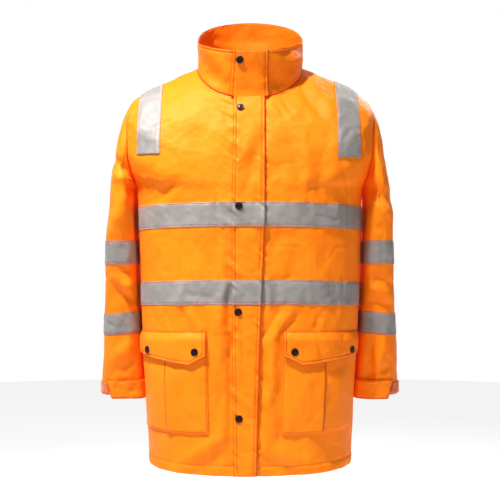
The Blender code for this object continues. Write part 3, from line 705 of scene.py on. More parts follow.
def grid_mesh(name, points, u, v, seam, closed=False):
    """A mesh on a grid of points, with its measures in metres as its UV map, and the shadow painted along its
    edges and seams.
    """
    rows, columns = points.shape[:2]
    sheet = bmesh.new()
    bmesh.ops.create_grid(sheet, x_segments=columns - 1, y_segments=rows - 1, size=1)
    mesh = bpy.data.meshes.new(name)
    sheet.to_mesh(mesh)
    sheet.free()
    mesh.vertices.foreach_set("co", points.reshape(-1))
    mesh.attributes.new("seam", "FLOAT", "POINT").data.foreach_set("value", seam.reshape(-1))
    corners = np.empty(len(mesh.loops), int)
    mesh.loops.foreach_get("vertex_index", corners)
    mesh.uv_layers.new(name="metres")
    measures = np.stack([u, v], axis=-1).reshape(-1, 2)[corners]
    mesh.uv_layers["metres"].uv.foreach_set("vector", measures.reshape(-1))
    if closed:
        sheet = bmesh.new()
        sheet.from_mesh(mesh)
        bmesh.ops.remove_doubles(sheet, verts=sheet.verts, dist=1e-6)
        sheet.to_mesh(mesh)
        sheet.free()
    mesh.shade_smooth()
    return mesh


def put(name, data):
    """A new object in the scene."""
    made = bpy.data.objects.new(name, data)
    bpy.context.scene.collection.objects.link(made)
    return made


def add_cloth(node, cloth, wall, material, closed=False):
    """Puts a piece of cloth in the scene, thickened inwards, in place of its CAD node."""
    name = f"{node}_cloth"
    lengthwise = (cloth.v, cloth.u) if node.startswith("shoulder_tape") else (cloth.u, cloth.v)
    mesh = grid_mesh(name, cloth.points, *lengthwise, cloth.seam, closed)
    mesh.materials.append(material)
    piece = put(name, mesh)
    thickness = piece.modifiers.new("wall", "SOLIDIFY")
    thickness.thickness = wall
    thickness.offset = -1
    thickness.use_even_offset = False
    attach(piece, "root")
    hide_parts(node)
    return piece


def shoulder_form(tape):
    """The form over a shoulder: across is x, and along it -1 is the tape's front end and 1 its back."""
    widths = np.linspace(tape.inner - 0.012, tape.outer + 0.012, 41)
    yoke = np.linspace(0, SHOULDER_DROP, 200)
    ridges = np.interp(widths, sample(BODY, yoke).half_width, yoke)
    fronts, backs = [], []
    for x, ridge in zip(widths, ridges):
        drops = np.linspace(ridge, UNDERARM_DROP, 400)
        ahead = azimuth_at(x, drops)
        for ends, azimuth in ((fronts, ahead), (backs, np.pi - ahead)):
            ends.append(np.interp(-tape.end, -trunk_point(azimuth, drops)[:, 2], drops))

    def drop_at(x, share):
        ridge = np.interp(np.abs(x), widths, ridges)
        end = np.where(share < 0, np.interp(np.abs(x), widths, fronts), np.interp(np.abs(x), widths, backs))
        return ridge + (end - ridge) * np.abs(share) ** sample(BODY, ridge).squareness

    def place(x, share):
        x, share = np.broadcast_arrays(np.asarray(x, float), np.asarray(share, float))
        drop = drop_at(x, share)
        ahead = azimuth_at(np.abs(x), drop)
        point = trunk_point(np.where(share < 0, ahead, np.pi - ahead), drop)
        return np.stack([np.sign(x) * point[..., 0], point[..., 1], point[..., 2]], axis=-1)

    def relief(points, share):
        return trunk_relief(points, drop_at(points[..., 0], share))

    return Form(place, relief)


class Finish:
    """A Principled material, with short ways to wire its nodes."""

    def __init__(self, name, roughness, **values):
        self.material = bpy.data.materials.new(name)
        self.material.use_nodes = True
        self.tree = self.material.node_tree
        self.shader = self.tree.nodes["Principled BSDF"]
        self.shader.inputs["Roughness"].default_value = roughness
        for socket, value in values.items():
            self.shader.inputs[socket.replace("_", " ")].default_value = value

    def node(self, kind, operation=None, **inputs):
        made = self.tree.nodes.new(f"ShaderNode{kind}")
        if operation:
            made.operation = operation
        for socket, value in inputs.items():
            target = made.inputs[int(socket[1:])] if socket[1:].isdigit() else made.inputs[socket]
            if isinstance(value, bpy.types.NodeSocket):
                self.tree.links.new(value, target)
            else:
                target.default_value = value
        return made.outputs[0]

    def math(self, operation, first, second=0.0):
        return self.node("Math", operation, _0=first, _1=second)

    def uv(self):
        made = self.tree.nodes.new("ShaderNodeUVMap")
        made.uv_map = "metres"
        split = self.tree.nodes.new("ShaderNodeSeparateXYZ")
        self.tree.links.new(made.outputs[0], split.inputs[0])
        return split.outputs[0], split.outputs[1]

    def noise(self, scale, detail=3.0, roughness=0.55):
        """Noise through the piece's own space, where scale is in cells a metre."""
        place = self.tree.nodes.new("ShaderNodeTexCoord").outputs["Object"]
        return self.node("TexNoise", Vector=place, Scale=scale, Detail=detail, Roughness=roughness)

    def painted_seam_shadow(self, tint):
        """White over the open cloth, falling to a tint along its edges, pleats and stitching: painted shadow,
        with the darker stitch holes.
        """
        made = self.tree.nodes.new("ShaderNodeAttribute")
        made.attribute_name = "seam"
        return self.colours(made.outputs["Fac"], (0.10, (1, 1, 1)), (0.85, tint))

    def ripple(self, place, pitch):
        """A wave from -1 to 1 with this pitch in metres."""
        return self.math("SINE", self.math("MULTIPLY", place, 2 * math.pi / pitch))

    def colours(self, factor, *stops):
        """A colour ramp over the factor; each stop is a place and a colour."""
        ramp = self.tree.nodes.new("ShaderNodeValToRGB")
        self.tree.links.new(factor, ramp.inputs[0])
        elements = ramp.color_ramp.elements
        while len(elements) < len(stops):
            elements.new(0.5)
        for element, (place, colour) in zip(elements, stops):
            element.position = place
            element.color = (*colour, 1)
        return ramp.outputs[0]

    def greys(self, factor, *stops):
        """A ramp of greys over the factor; each stop is a place and a value."""
        return self.colours(factor, *((place, (value,) * 3) for place, value in stops))

    def times(self, first, second):
        """The product of two colours."""
        return self.node("VectorMath", "MULTIPLY", _0=first, _1=second)

    def blend(self, factor, first, second):
        """A mix of two colour outputs."""
        made = self.tree.nodes.new("ShaderNodeMix")
        made.data_type = "RGBA"
        self.tree.links.new(factor, made.inputs["Factor"])
        for name, colour in (("A", first), ("B", second)):
            socket = next(s for s in made.inputs if s.name == name and s.type == "RGBA")
            if isinstance(colour, tuple):
                socket.default_value = (*colour, 1)
            else:
                self.tree.links.new(colour, socket)
        return next(s for s in made.outputs if s.type == "RGBA")

    def bump(self, height, distance, strength=1.0, under=None):
        made = self.tree.nodes.new("ShaderNodeBump")
        made.inputs["Strength"].default_value = strength
        made.inputs["Distance"].default_value = distance
        self.tree.links.new(height, made.inputs["Height"])
        if under is not None:
            self.tree.links.new(under, made.inputs["Normal"])
        return made.outputs[0]

    def wire(self, **sockets):
        for socket, output in sockets.items():
            self.tree.links.new(output, self.shader.inputs[socket.replace("_", " ")])
        return self.material


# Colours, linear
ORANGE = (1.0, 0.235, 0.0060)
ORANGE_DEEP = (0.98, 0.212, 0.0045)
ORANGE_PALE = (1.0, 0.255, 0.0080)
# A painted red-orange glow that the cloth and thread give off, though neither is a lamp; it stands in for
# fluorescence and lifts their shadows towards red
PAINTED_GLOW = (1.0, 0.055, 0.0, 1.0)
PAINTED_GLOW_STRENGTH = 0.08
GLOSS_TINT = (1.0, 0.62, 0.30, 1.0)
SHEEN_TINT = (1.0, 0.50, 0.18, 1.0)
SILVER = (0.300, 0.278, 0.266)
SILVER_DARK = (0.250, 0.230, 0.220)
SILVER_MARGIN = (0.380, 0.355, 0.335)
CORAL = (0.72, 0.150, 0.065)
CORAL_DARK = (0.56, 0.095, 0.035)
BLACK = (0.007, 0.003, 0.003)
# The colours of the shadow painted along edges, pleats and stitching
ORANGE_SEAM_SHADOW = (0.46, 0.22, 0.12)
SILVER_SEAM_SHADOW = (0.66, 0.58, 0.54)
WEAVE = 0.0007
TAPE_WIDTH = 0.051


def orange_cloth():
    """Fluorescent coated Oxford: a fine basket weave, a slight sheen and softly uneven dye, with a painted
    glow that lifts its shadows and a painted shadow along its edges and stitching.
    """
    cloth = Finish("orange_cloth", 0.52, Emission_Color=PAINTED_GLOW, Emission_Strength=PAINTED_GLOW_STRENGTH,
                   Sheen_Weight=0.06, Sheen_Roughness=0.45, Sheen_Tint=SHEEN_TINT,
                   Specular_IOR_Level=0.30, Specular_Tint=GLOSS_TINT)
    colour = cloth.colours(cloth.noise(11.0), (0.30, ORANGE_DEEP), (0.52, ORANGE), (0.72, ORANGE_PALE))
    fleck = cloth.greys(cloth.noise(420.0, 2.0), (0.35, 0.93), (0.65, 1))
    # The cloth's colour, darkened by the shadow painted along its edges and stitching
    shade = cloth.times(cloth.times(colour, fleck), cloth.painted_seam_shadow(ORANGE_SEAM_SHADOW))
    across, along = cloth.uv()
    weave = cloth.math("MULTIPLY", cloth.ripple(across, WEAVE), cloth.ripple(along, WEAVE))
    crackle = cloth.bump(cloth.noise(105.0, 4.0), 0.0022, 0.42)
    return cloth.wire(Base_Color=shade, Normal=cloth.bump(weave, 0.00006, 0.5, under=crackle))


def reflective_tape():
    """Glass-bead tape: silver grey, faintly embossed, with paler woven margins and a shadow painted along its
    edges and stitching.
    """
    tape = Finish("reflective_tape", 0.56, Metallic=0.12, Specular_IOR_Level=0.4,
                  Sheen_Weight=0.08, Sheen_Roughness=0.5)
    across, along = tape.uv()
    from_middle = tape.math("ABSOLUTE", tape.math("SUBTRACT", along, TAPE_WIDTH / 2))
    share = tape.math("DIVIDE", from_middle, TAPE_WIDTH / 2)
    field = tape.colours(tape.noise(24.0, 5.0), (0.32, SILVER_DARK), (0.62, SILVER))
    margin = tape.greys(share, (0.84, 0), (0.90, 1))
    colour = tape.blend(margin, field, SILVER_MARGIN)
    slant = tape.ripple(tape.math("ADD", across, along), 0.0013)
    counter = tape.ripple(tape.math("SUBTRACT", across, along), 0.0013)
    emboss = tape.math("MULTIPLY", slant, counter)
    # The tape's colour, darkened by the shadow painted along its edges and stitching
    colour = tape.times(colour, tape.painted_seam_shadow(SILVER_SEAM_SHADOW))
    crush = tape.bump(tape.noise(95.0, 5.0), 0.0022, 0.38)
    worn = tape.greys(tape.noise(60.0, 4.0), (0.3, 0.50), (0.7, 0.66))
    normal = tape.bump(emboss, 0.00005, 0.5, under=crush)
    return tape.wire(Base_Color=colour, Roughness=worn, Normal=normal)


def hook_and_loop():
    """Coral pile of short loops."""
    strip = Finish("hook_and_loop", 0.92, Sheen_Weight=0.6, Sheen_Roughness=0.5,
                   Sheen_Tint=(1.0, 0.62, 0.45, 1.0))
    colour = strip.colours(strip.noise(900.0, 3.0), (0.35, CORAL_DARK), (0.60, CORAL))
    return strip.wire(Base_Color=colour, Normal=strip.bump(strip.noise(1100.0, 3.0), 0.0008, 0.8))


def press_stud_black():
    """Black lacquer with light scuffs."""
    stud = Finish("press_stud", 0.34, Specular_IOR_Level=0.22)
    colour = stud.colours(stud.noise(300.0, 4.0), (0.4, BLACK), (0.8, (0.016, 0.010, 0.010)))
    scuff = stud.greys(stud.noise(700.0, 3.0), (0.35, 0.28), (0.7, 0.44))
    return stud.wire(Base_Color=colour, Roughness=scuff)


def orange_thread():
    """Twisted thread, a little darker than the cloth, with a painted glow."""
    thread = Finish("orange_thread", 0.50, Emission_Color=PAINTED_GLOW, Emission_Strength=0.15)
    twist = thread.noise(2500.0, 1.0)
    colour = thread.colours(twist, (0.3, (0.85, 0.120, 0.010)), (0.7, (1.0, 0.250, 0.030)))
    return thread.wire(Base_Color=colour, Normal=thread.bump(twist, 0.0002, 0.5))


def panel_drops():
    """The rows of the front and back panels, from the hem up."""
    yoke = spaced(SHOULDER_DROP, YOKE_ROW_PITCH, PLAIN, (0.0,))[0]
    armhole = armhole_drop(np.linspace(0, np.pi, ARMHOLE_ROWS))[1:]
    lower = levels(UNDERARM_DROP, HEM_DROP, PANEL_ROW_PITCH, (0.0,), HEM_LINES)[1:]
    return np.concatenate([yoke, armhole, lower])[::-1]


def add_body(orange, tape_finish):
    """The fronts and the back, sewn together at the shoulders and sides, with the tapes round them."""
    drops = panel_drops()
    fronts = armhole_azimuth(drops, ARMHOLE_FRONT)
    backs = armhole_azimuth(drops, ARMHOLE_BACK)
    panels = (
        ("front_left", 0 * drops, fronts, FRONT_PITCH, PLAIN, STITCHED),
        ("front_right", -fronts, 0 * drops, FRONT_PITCH, STITCHED, PLAIN),
        ("back", np.pi - backs, np.pi + backs, BACK_PITCH, STITCHED, STITCHED),
    )
    made = {}
    for name, start, end, pitch, low, high in panels:
        across = across_row(TRUNK, start, end, drops, pitch, low, high)
        cloth = Cloth(TRUNK, across, drops[:, None])
        sides = {"front_left": "r", "front_right": "l", "back": "lr"}[name]
        cloth.turn_in(sides + "t", 0.0014, 0.0013)
        cloth.height -= HEM_PRESS * bell(cloth.v - HEM_STITCH, STITCH_GROOVE)
        cloth.height += 0.0005 * smooth((HEM_STITCH - cloth.v) / 0.004) * smooth(cloth.v / 0.002)
        if name != "back":
            cloth.sew(sides + "t", FRONT_STITCH, depth=0.0006)
        add_cloth(name, cloth, WALL, orange)
        made[name] = cloth
        for number, (top, bottom) in enumerate(BODY_TAPES, start=1):
            rows = levels(top, bottom, TRIM_PITCH, STITCHED, STITCHED)[::-1]
            reach = np.interp(rows, drops[::-1], (backs if name == "back" else fronts)[::-1])
            ends = {"front_left": (0 * rows, reach), "front_right": (-reach, 0 * rows),
                    "back": (np.pi - reach, np.pi + reach)}[name]
            across = across_row(TRUNK, *ends, rows, FRONT_PITCH, PLAIN, PLAIN)
            made[f"{name}_tape_{number}"] = add_tape(
                f"body_tape_{number}_{name}", Cloth(TRUNK, across, rows[:, None], TAPE_HEIGHT),
                tape_finish)
    return made


def add_tape(node, cloth, finish, closed=False, sides="bt"):
    """A reflective tape sewn down along both its edges."""
    cloth.turn_in(sides, 0.0006, 0.0009).sew(sides, TOP_STITCH, depth=0.0005)
    crush = noise(cloth.base, (0.0075, 0.0075, 0.020), 21) + 0.8 * noise(cloth.base, 0.013, 22)
    cloth.height += 0.00022 * crush * smooth(cloth.from_edge(sides) / 0.008)
    add_cloth(node, cloth, TAPE, finish, closed)
    return cloth


def add_collar(orange):
    """The stand-up collar: one band, open at the front under the storm flap, and its facing."""
    made = {}
    plies = (("collar", 0.0, WALL, 0.0), ("collar_inner", -WALL - 0.0002, PLY, 0.0007))
    for node, lift, wall, inset in plies:
        drops = -levels(0.0003, COLLAR_HEIGHT - inset, TRIM_PITCH, PLAIN, STITCHED)
        across = across_row(TRUNK, 0.004, 2 * np.pi - 0.004, drops, COLLAR_PITCH, PLAIN, PLAIN)
        cloth = Cloth(TRUNK, across, drops[:, None], lift)
        if node == "collar":
            cloth.turn_in("t", 0.0012, 0.0012).turn_in("b", 0.0012, 0.0014)
            cloth.sew("t", COLLAR_TOP_STITCH, depth=0.0008).sew("b", COLLAR_BASE_STITCH, depth=0.0005)
        else:
            cloth.height += 0.0010 * bell(cloth.from_edge("t"), 0.0012)
        add_cloth(node, cloth, wall, orange)
        made[node] = cloth
    return made


def raised_strip(cloth, sides):
    """1 between the two rows of stitching along these edges."""
    away = cloth.from_edge(sides)
    return smooth(away / 0.001) * smooth((SECOND_STITCH - away) / 0.001)


def shape_storm_flap(cloth, raised):
    """Lifts the storm flap's sewn edge between its stitching, and makes its free edge wave."""
    cloth.height += raised * raised_strip(cloth, "r")
    free = np.exp(-cloth.from_edge("l") / 0.016)
    cloth.height += free * 0.0011 * (0.6 + noise(cloth.base, (0.06, 0.06, 0.0115), 23))
    cloth.height += 0.0007 * (1 + noise(cloth.base, (0.022, 0.022, 0.030), 24))


def add_storm_flap(orange, tape_finish):
    """The strip over the front opening, from the hem to the collar's rim, and its tapes."""
    drops = -levels(-HEM_DROP, COLLAR_HEIGHT, FLAP_ROW_PITCH, PLAIN, STITCHED)
    across = across_row(STORM, 0, 1, drops, TRIM_PITCH, STITCHED, STITCHED)
    cloth = Cloth(STORM, across, drops[:, None], FLAP_HEIGHT)
    cloth.turn_in("lrbt", 0.0016, 0.0014).sew("l", SECOND_STITCH).sew("r", NEAR_STITCH, SECOND_STITCH)
    shape_storm_flap(cloth, 0.0008)
    add_cloth("storm_flap", cloth, FLAP_WALL, orange)
    made = {"storm_flap": cloth}
    for number, (top, bottom) in enumerate(BODY_TAPES, start=1):
        rows = levels(top, bottom, TRIM_PITCH, STITCHED, STITCHED)[::-1]
        across = across_row(STORM, 0, 1, rows, TRIM_PITCH, STITCHED, STITCHED)
        tape = Cloth(STORM, across, rows[:, None], FLAP_HEIGHT + TAPE_HEIGHT + 0.0006)
        tape.turn_in("lr", 0.0014, 0.0016)
        shape_storm_flap(tape, 0.0007)
        made[f"storm_flap_tape_{number}"] = add_tape(
            f"body_tape_{number}_storm_flap", tape, tape_finish)
    return made


def pocket_azimuths(side, pocket):
    """The inner edge, pleat and outer edge of a pocket, in the order that its columns run."""
    places = side * np.radians((pocket.inner, pocket.pleat, pocket.outer))
    return places if side > 0 else places[::-1]


def add_pocket(side, pocket, orange):
    """A pocket bag with its pleat, standing a little proud of the front, and its flap."""
    start, pleat, end = pocket_azimuths(side, pocket)
    drops = levels(POCKET_TOP, POCKET_BOTTOM, TRIM_PITCH, STITCHED, STITCHED)[::-1]
    bag = Cloth(TRUNK, across_row(TRUNK, start, end, drops, TRIM_PITCH, STITCHED, STITCHED),
                drops[:, None], POCKET_HEIGHT)
    inner = bag.from_edge("lrb")
    fullness = smooth(inner / 0.0035) * 0.45 + smooth(inner / 0.045) * 0.55
    fullness = fullness * (0.8 + 0.35 * noise(bag.base, (0.06, 0.06, 0.09), 25))
    under_flap = 0.25 + 0.75 * smooth((bag.drop - POCKET_FLAP_END) / 0.045)
    bag.height += POCKET_FULLNESS * fullness * to_side(bag) * under_flap
    bag.sew("lrb", TOP_STITCH, depth=0.0007)
    beyond = side * (bag.across - pleat) * PLEAT_RADIUS
    lap = np.where(beyond > 0, bell(beyond, 0.0016), bell(beyond, 0.012))
    bag.height += PLEAT_LAP * lap * under_flap
    # A shadow painted along the pleat's fold
    bag.seam = np.maximum(bag.seam, 0.9 * bell(beyond - 0.0012, 0.0021))
    name = f"pocket_{pocket.side}"
    add_cloth(name, bag, POCKET_WALL, orange)
    return {name: bag, f"pocket_flap_{pocket.side}": add_pocket_flap(side, pocket, orange)}


def to_side(cloth):
    """1 over the front of the body, falling to a fifth at its sides."""
    return 1 - 0.8 * smooth((np.abs(np.sin(cloth.across)) - 0.80) / 0.18)


def hang_at(side, start, end, across):
    """How far a pocket flap hangs at these azimuths."""
    share = np.abs(across - (start if side > 0 else end)) / abs(end - start)
    return np.interp(share, FLAP_SHARES, FLAP_HANGS)


def add_pocket_flap(side, pocket, orange):
    """A pocket's flap, whose lower edge is lowest near its inner end."""
    start, _, end = pocket_azimuths(side, pocket)
    rows = spaced(1.0, 0.045, np.array(STITCHED) * 18, np.array(PLAIN) * 18)[0]
    middle = np.array([POCKET_FLAP_TOP + 0.02])
    across = across_row(TRUNK, start, end, middle, TRIM_PITCH, STITCHED, STITCHED)
    hangs = hang_at(side, start, end, across)
    drop = POCKET_FLAP_TOP + hangs * (1 - rows[:, None])
    flap = Cloth(TRUNK, across + 0 * drop, drop, 0.0)
    down = flap.v[-1:] - flap.v
    full = 0.0060 + (POCKET_FLAP_HEIGHT - 0.0060) * to_side(flap)
    flap.height += 0.0032 + (full - 0.0032) * smooth(down / 0.020)
    flap.height += 0.0012 * noise(flap.base, (0.030, 0.030, 0.050), 26) * smooth(down / 0.015)
    flap.turn_in("lrbt", 0.0015, 0.0013).sew("lrb", NEAR_STITCH, SECOND_STITCH, depth=0.0009)
    flap.height += 0.0007 * raised_strip(flap, "lrb")
    flap.sew("t", TOP_STITCH, depth=0.0008)
    add_cloth(f"pocket_flap_{pocket.side}", flap, FLAP_WALL, orange)
    return flap


def add_sleeve(side, name, orange, tape_finish):
    """A sleeve, a tube from the armhole to the cuff, with its two tapes."""
    form = SLEEVES[side]
    drops = levels(SHOULDER_DROP, CUFF_DROP, SLEEVE_PITCH, STITCHED, HEM_LINES)
    turn = np.linspace(0, 2 * np.pi, SLEEVE_COLUMNS)
    sleeve = Cloth(form, turn, drops[:, None])
    sleeve.turn_in("b", 0.0014, 0.0014).turn_in("t", 0.0006, 0.0010)
    sleeve.height -= HEM_PRESS * bell(sleeve.from_edge("t") - HEM_STITCH, STITCH_GROOVE)
    add_cloth(f"sleeve_{name}", sleeve, WALL, orange, closed=True)
    made = {f"sleeve_{name}": sleeve}
    for number, (top, bottom) in enumerate(SLEEVE_TAPES, start=1):
        rows = levels(top, bottom, TRIM_PITCH, STITCHED, STITCHED)
        tape = Cloth(form, turn, rows[:, None], TAPE_HEIGHT)
        made[f"sleeve_tape_{number}_{name}"] = add_tape(
            f"sleeve_tape_{number}_{name}", tape, tape_finish, closed=True)
    return made


def add_cuff_trim(side, name, orange, coral):
    """The cuff's tab and the hook-and-loop strip that it fastens to."""
    form = SLEEVES[side]
    drops = levels(*TAB_DROPS, TRIM_PITCH, STITCHED, STITCHED)
    ends = np.radians(np.interp(drops, TAB_DROPS, TAB_ENDS))
    inner = math.radians(TAB_INNER_END)
    span = (ends, inner) if side > 0 else (-inner, -ends)
    tab = Cloth(form, across_row(form, *span, drops, TRIM_PITCH, STITCHED, STITCHED),
                drops[:, None], CUFF_HEIGHT)
    rim = "lbt" if side > 0 else "rbt"
    tab.turn_in("lrbt", 0.0012, 0.0013).sew(rim, TOP_STITCH, depth=0.0008)
    tab.height += 0.0009 * (1 + noise(tab.base, (0.02, 0.02, 0.014), 27)) * smooth(tab.u / 0.03)
    add_cloth(f"cuff_tab_{name}", tab, FLAP_WALL, orange)
    rows = levels(*STRIP_DROPS, TRIM_PITCH, PLAIN, PLAIN)
    front = np.radians(np.interp(rows, TAB_DROPS, TAB_ENDS) - STRIP_CLEARANCE)
    back = math.radians(STRIP_BACK_END)
    corner = 0.10 * smooth((rows - STRIP_DROPS[1] + 0.006) / 0.006) ** 2
    span = (back, front - corner) if side > 0 else (-front + corner, -back)
    strip = Cloth(form, across_row(form, *span, rows, TRIM_PITCH, PLAIN, PLAIN), rows[:, None],
                  CUFF_HEIGHT - 0.0004)
    strip.turn_in("lrbt", 0.0008, 0.0010)
    strip.height += 0.00025 * noise(strip.base, 0.0022, 28)
    add_cloth(f"cuff_strip_{name}", strip, STRIP_WALL, coral)
    return {f"cuff_tab_{name}": tab, f"cuff_strip_{name}": strip}


def add_shoulder_tape(side, name, tape_finish):
    """A tape over the shoulder, whose rows lie a little closer at the ridge."""
    extent = SHOULDER_TAPES[side]
    x = spaced(extent.outer - extent.inner, TRIM_PITCH, STITCHED, STITCHED)[0] + extent.inner
    x = x if side > 0 else -x[::-1]
    share = np.linspace(-1, 1, SHOULDER_TAPE_ROWS)
    share = np.sign(share) * np.abs(share) ** 0.9
    tape = Cloth(shoulder_form(extent), x, share[:, None], TAPE_HEIGHT + 0.0004)
    return {f"shoulder_tape_{name}": add_tape(f"shoulder_tape_{name}", tape, tape_finish, sides="lr")}


# A stud's cap, turned: radius and height of its profile from the rim to the crown
CAP_PROFILE = (
    (0.0070, 0.0000), (0.0077, 0.0003), (0.0079, 0.0009), (0.0077, 0.0016), (0.0070, 0.0021),
    (0.0062, 0.0022), (0.0058, 0.0019), (0.0052, 0.0020), (0.0036, 0.0025), (0.0018, 0.0028), (0.0, 0.0029),
)
CAP_STEPS = 48
STUD_LIFT = 0.0001


def add_stud(node, cloth, across, drop, height, finish):
    """A press stud's cap on the cloth, at a place on the cloth's form."""
    seat = Cloth(cloth.form, across + np.array([[0.0, 0.001]]), drop + np.array([[0.0], [-0.001]]), height)
    place, outward = Vector(seat.points[0, 0]), Vector(seat.outward[0, 0])
    mesh = bpy.data.meshes.new(f"{node}_cap")
    turned = bmesh.new()
    profile = [turned.verts.new((radius, 0, rise)) for radius, rise in CAP_PROFILE]
    for low, high in zip(profile, profile[1:]):
        turned.edges.new((low, high))
    bmesh.ops.spin(turned, geom=turned.verts[:] + turned.edges[:], cent=(0, 0, 0), axis=(0, 0, 1),
                   angle=2 * math.pi, steps=CAP_STEPS)
    bmesh.ops.remove_doubles(turned, verts=turned.verts, dist=1e-6)
    rim = [edge for edge in turned.edges if edge.is_boundary]
    bmesh.ops.contextual_create(turned, geom=rim)
    bmesh.ops.recalc_face_normals(turned, faces=turned.faces)
    turned.to_mesh(mesh)
    turned.free()
    mesh.shade_smooth()
    mesh.materials.append(finish)
    cap = put(mesh.name, mesh)
    cap.location = place + outward * STUD_LIFT
    cap.rotation_euler = outward.to_track_quat("Z", "Y").to_euler()
    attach(cap, "root")
    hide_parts(node)


def height_at(cloth, across, drop):
    """The height over its form of a piece of cloth, at its point nearest to a place on the form."""
    place = cloth.form.place(np.array(across), np.array(drop))
    nearest = np.argmin(np.linalg.norm(cloth.base - place, axis=-1))
    near = np.linalg.norm(cloth.base - cloth.base.reshape(-1, 3)[nearest], axis=-1) < 0.006
    return float(cloth.height[near].max())


def add_studs(made, finish):
    """The studs of the storm flap and of the pocket flaps, each on the cloth beneath it."""
    flap = made["storm_flap"]
    for stud in FLAP_STUDS:
        edge = sample(STORM_FLAP, np.array(stud.drop))
        share = float((stud.x - edge.right_x) / (edge.left_x - edge.right_x))
        height = height_at(flap, share, stud.drop)
        if any(top < stud.drop < bottom for top, bottom in BODY_TAPES):
            height += TAPE_HEIGHT + 0.0005
        add_stud(f"stud_{stud.name}", flap, share, stud.drop, height, finish)
    for side, pocket in POCKETS.items():
        cloth = made[f"pocket_flap_{pocket.side}"]
        studs = (("inner", pocket.inner_stud, INNER_STUD_DROP), ("outer", pocket.outer_stud, OUTER_STUD_DROP))
        for place, degrees, drop in studs:
            azimuth = side * math.radians(degrees)
            height = height_at(cloth, azimuth, drop)
            add_stud(f"stud_pocket_{pocket.side}_{place}", cloth, azimuth, drop, height, finish)


def beside(cloth, side, distance, start=0.0, end=0.0):
    """A line on the cloth's face, at a distance from one side of it, and the way out along it."""
    measure, axis = (cloth.u, 1) if side in "lr" else (cloth.v, 0)
    away = measure if side in "lb" else (measure[:, -1:] if axis else measure[-1:]) - measure
    values = np.concatenate([cloth.points, cloth.outward], axis=-1)
    if axis == 0:
        away, values = away.T, values.transpose(1, 0, 2)
    order = slice(None) if side in "lb" else slice(None, None, -1)
    line = np.array([
        [np.interp(distance, gaps[order], value[order, k]) for k in range(6)]
        for gaps, value in zip(away, values)
    ])
    along = measured(line[:, :3], axis=0)
    keep = (along >= start) & (along <= along[-1] - end)
    return line[keep, :3], line[keep, 3:]


def along_line(places, along, values):
    """The values of a line's points, at these places along it."""
    return np.stack([np.interp(places, along, column) for column in values.T], axis=-1)


def add_stitches(name, lines, finish):
    """Rows of stitches along lines on the cloth: each stitch is a small spindle of thread."""
    turn = np.linspace(0, 2 * np.pi, 5)[:-1]
    ring = np.stack([0 * turn, np.cos(turn), np.sin(turn)], axis=-1)
    half = STITCH_LENGTH / 2
    spindle = np.concatenate([
        [[-half, 0, -THREAD]],
        ring * THREAD + (-0.55 * half, 0, 0),
        ring * THREAD + (0.55 * half, 0, 0),
        [[half, 0, -THREAD]],
    ])
    faces = [(0, 1 + (k + 1) % 4, 1 + k) for k in range(4)]
    faces += [(1 + k, 1 + (k + 1) % 4, 5 + (k + 1) % 4, 5 + k) for k in range(4)]
    faces += [(5 + k, 5 + (k + 1) % 4, 9) for k in range(4)]
    placed = []
    for points, outward in lines:
        along = measured(points, axis=0)
        count = int(along[-1] / STITCH_PITCH)
        middle = (np.arange(count) + 0.5) * STITCH_PITCH
        at, up = along_line(middle, along, points), along_line(middle, along, outward)
        forward = unit(along_line(middle + 0.001, along, points) - along_line(middle - 0.001, along, points))
        aside = unit(np.cross(up, forward))
        frame = np.stack([forward, aside, np.cross(forward, aside)], axis=1)
        placed.append(at[:, None] + spindle @ frame + 0.6 * THREAD * up[:, None])
    points = np.concatenate(placed)
    all_faces = [tuple(corner + len(spindle) * k for corner in face)
                 for k in range(len(points)) for face in faces]
    mesh = bpy.data.meshes.new(name)
    mesh.from_pydata(points.reshape(-1, 3), [], all_faces)
    mesh.shade_smooth()
    mesh.materials.append(finish)
    piece = put(name, mesh)
    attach(piece, "root")


def sew_everything(made, thread):
    """The rows of stitching, a mesh for each part of the jacket."""
    lines = [beside(made[name], side, TOP_STITCH) for name in made if "tape" in name
             for side in ("lr" if "shoulder" in name else "bt")]
    add_stitches("stitching_tapes", lines, thread)

    flap = made["storm_flap"]
    rows = (("l", SECOND_STITCH), ("r", NEAR_STITCH), ("r", SECOND_STITCH))
    add_stitches("stitching_storm_flap", [beside(flap, *row, 0.004, 0.004) for row in rows], thread)

    lines = []
    for side, pocket in POCKETS.items():
        bag = made[f"pocket_{pocket.side}"]
        lines += [beside(bag, edge, TOP_STITCH, 0.003, 0.003) for edge in "lrb"]
        pocket_flap = made[f"pocket_flap_{pocket.side}"]
        for distance in (NEAR_STITCH, SECOND_STITCH):
            lines += [beside(pocket_flap, edge, distance, distance, distance) for edge in "lrb"]
        lines.append(beside(pocket_flap, "t", TOP_STITCH, 0.003, 0.003))
    add_stitches("stitching_pockets", lines, thread)

    lines = [beside(made[name], "b", HEM_STITCH) for name in ("front_left", "front_right", "back")]
    for name, edge in (("front_left", "r"), ("front_right", "l")):
        lines.append(beside(made[name], edge, FRONT_STITCH, 0.004, 0.004))
    for edge, distance in (("t", COLLAR_TOP_STITCH), ("b", COLLAR_BASE_STITCH)):
        lines.append(beside(made["collar"], edge, distance))
    add_stitches("stitching_body", lines, thread)

    lines = []
    for name in ("left", "right"):
        lines.append(beside(made[f"sleeve_{name}"], "t", HEM_STITCH))
        tab, strip = made[f"cuff_tab_{name}"], made[f"cuff_strip_{name}"]
        edges = "lbt" if name == "left" else "rbt"
        lines += [beside(tab, edge, TOP_STITCH, 0.003, 0.003) for edge in edges]
        lines += [beside(strip, edge, STRIP_STITCH, 0.003, 0.003) for edge in "bt"]
    add_stitches("stitching_sleeves", lines, thread)


CAMERA_DISTANCE = 2.45
CAMERA_HEIGHT = -0.394
CAMERA_LENS = 81.3
FLOOR_LEVEL = -1.35
FLOOR_RADIUS = 6.0
WORLD_LIGHT = 0.10


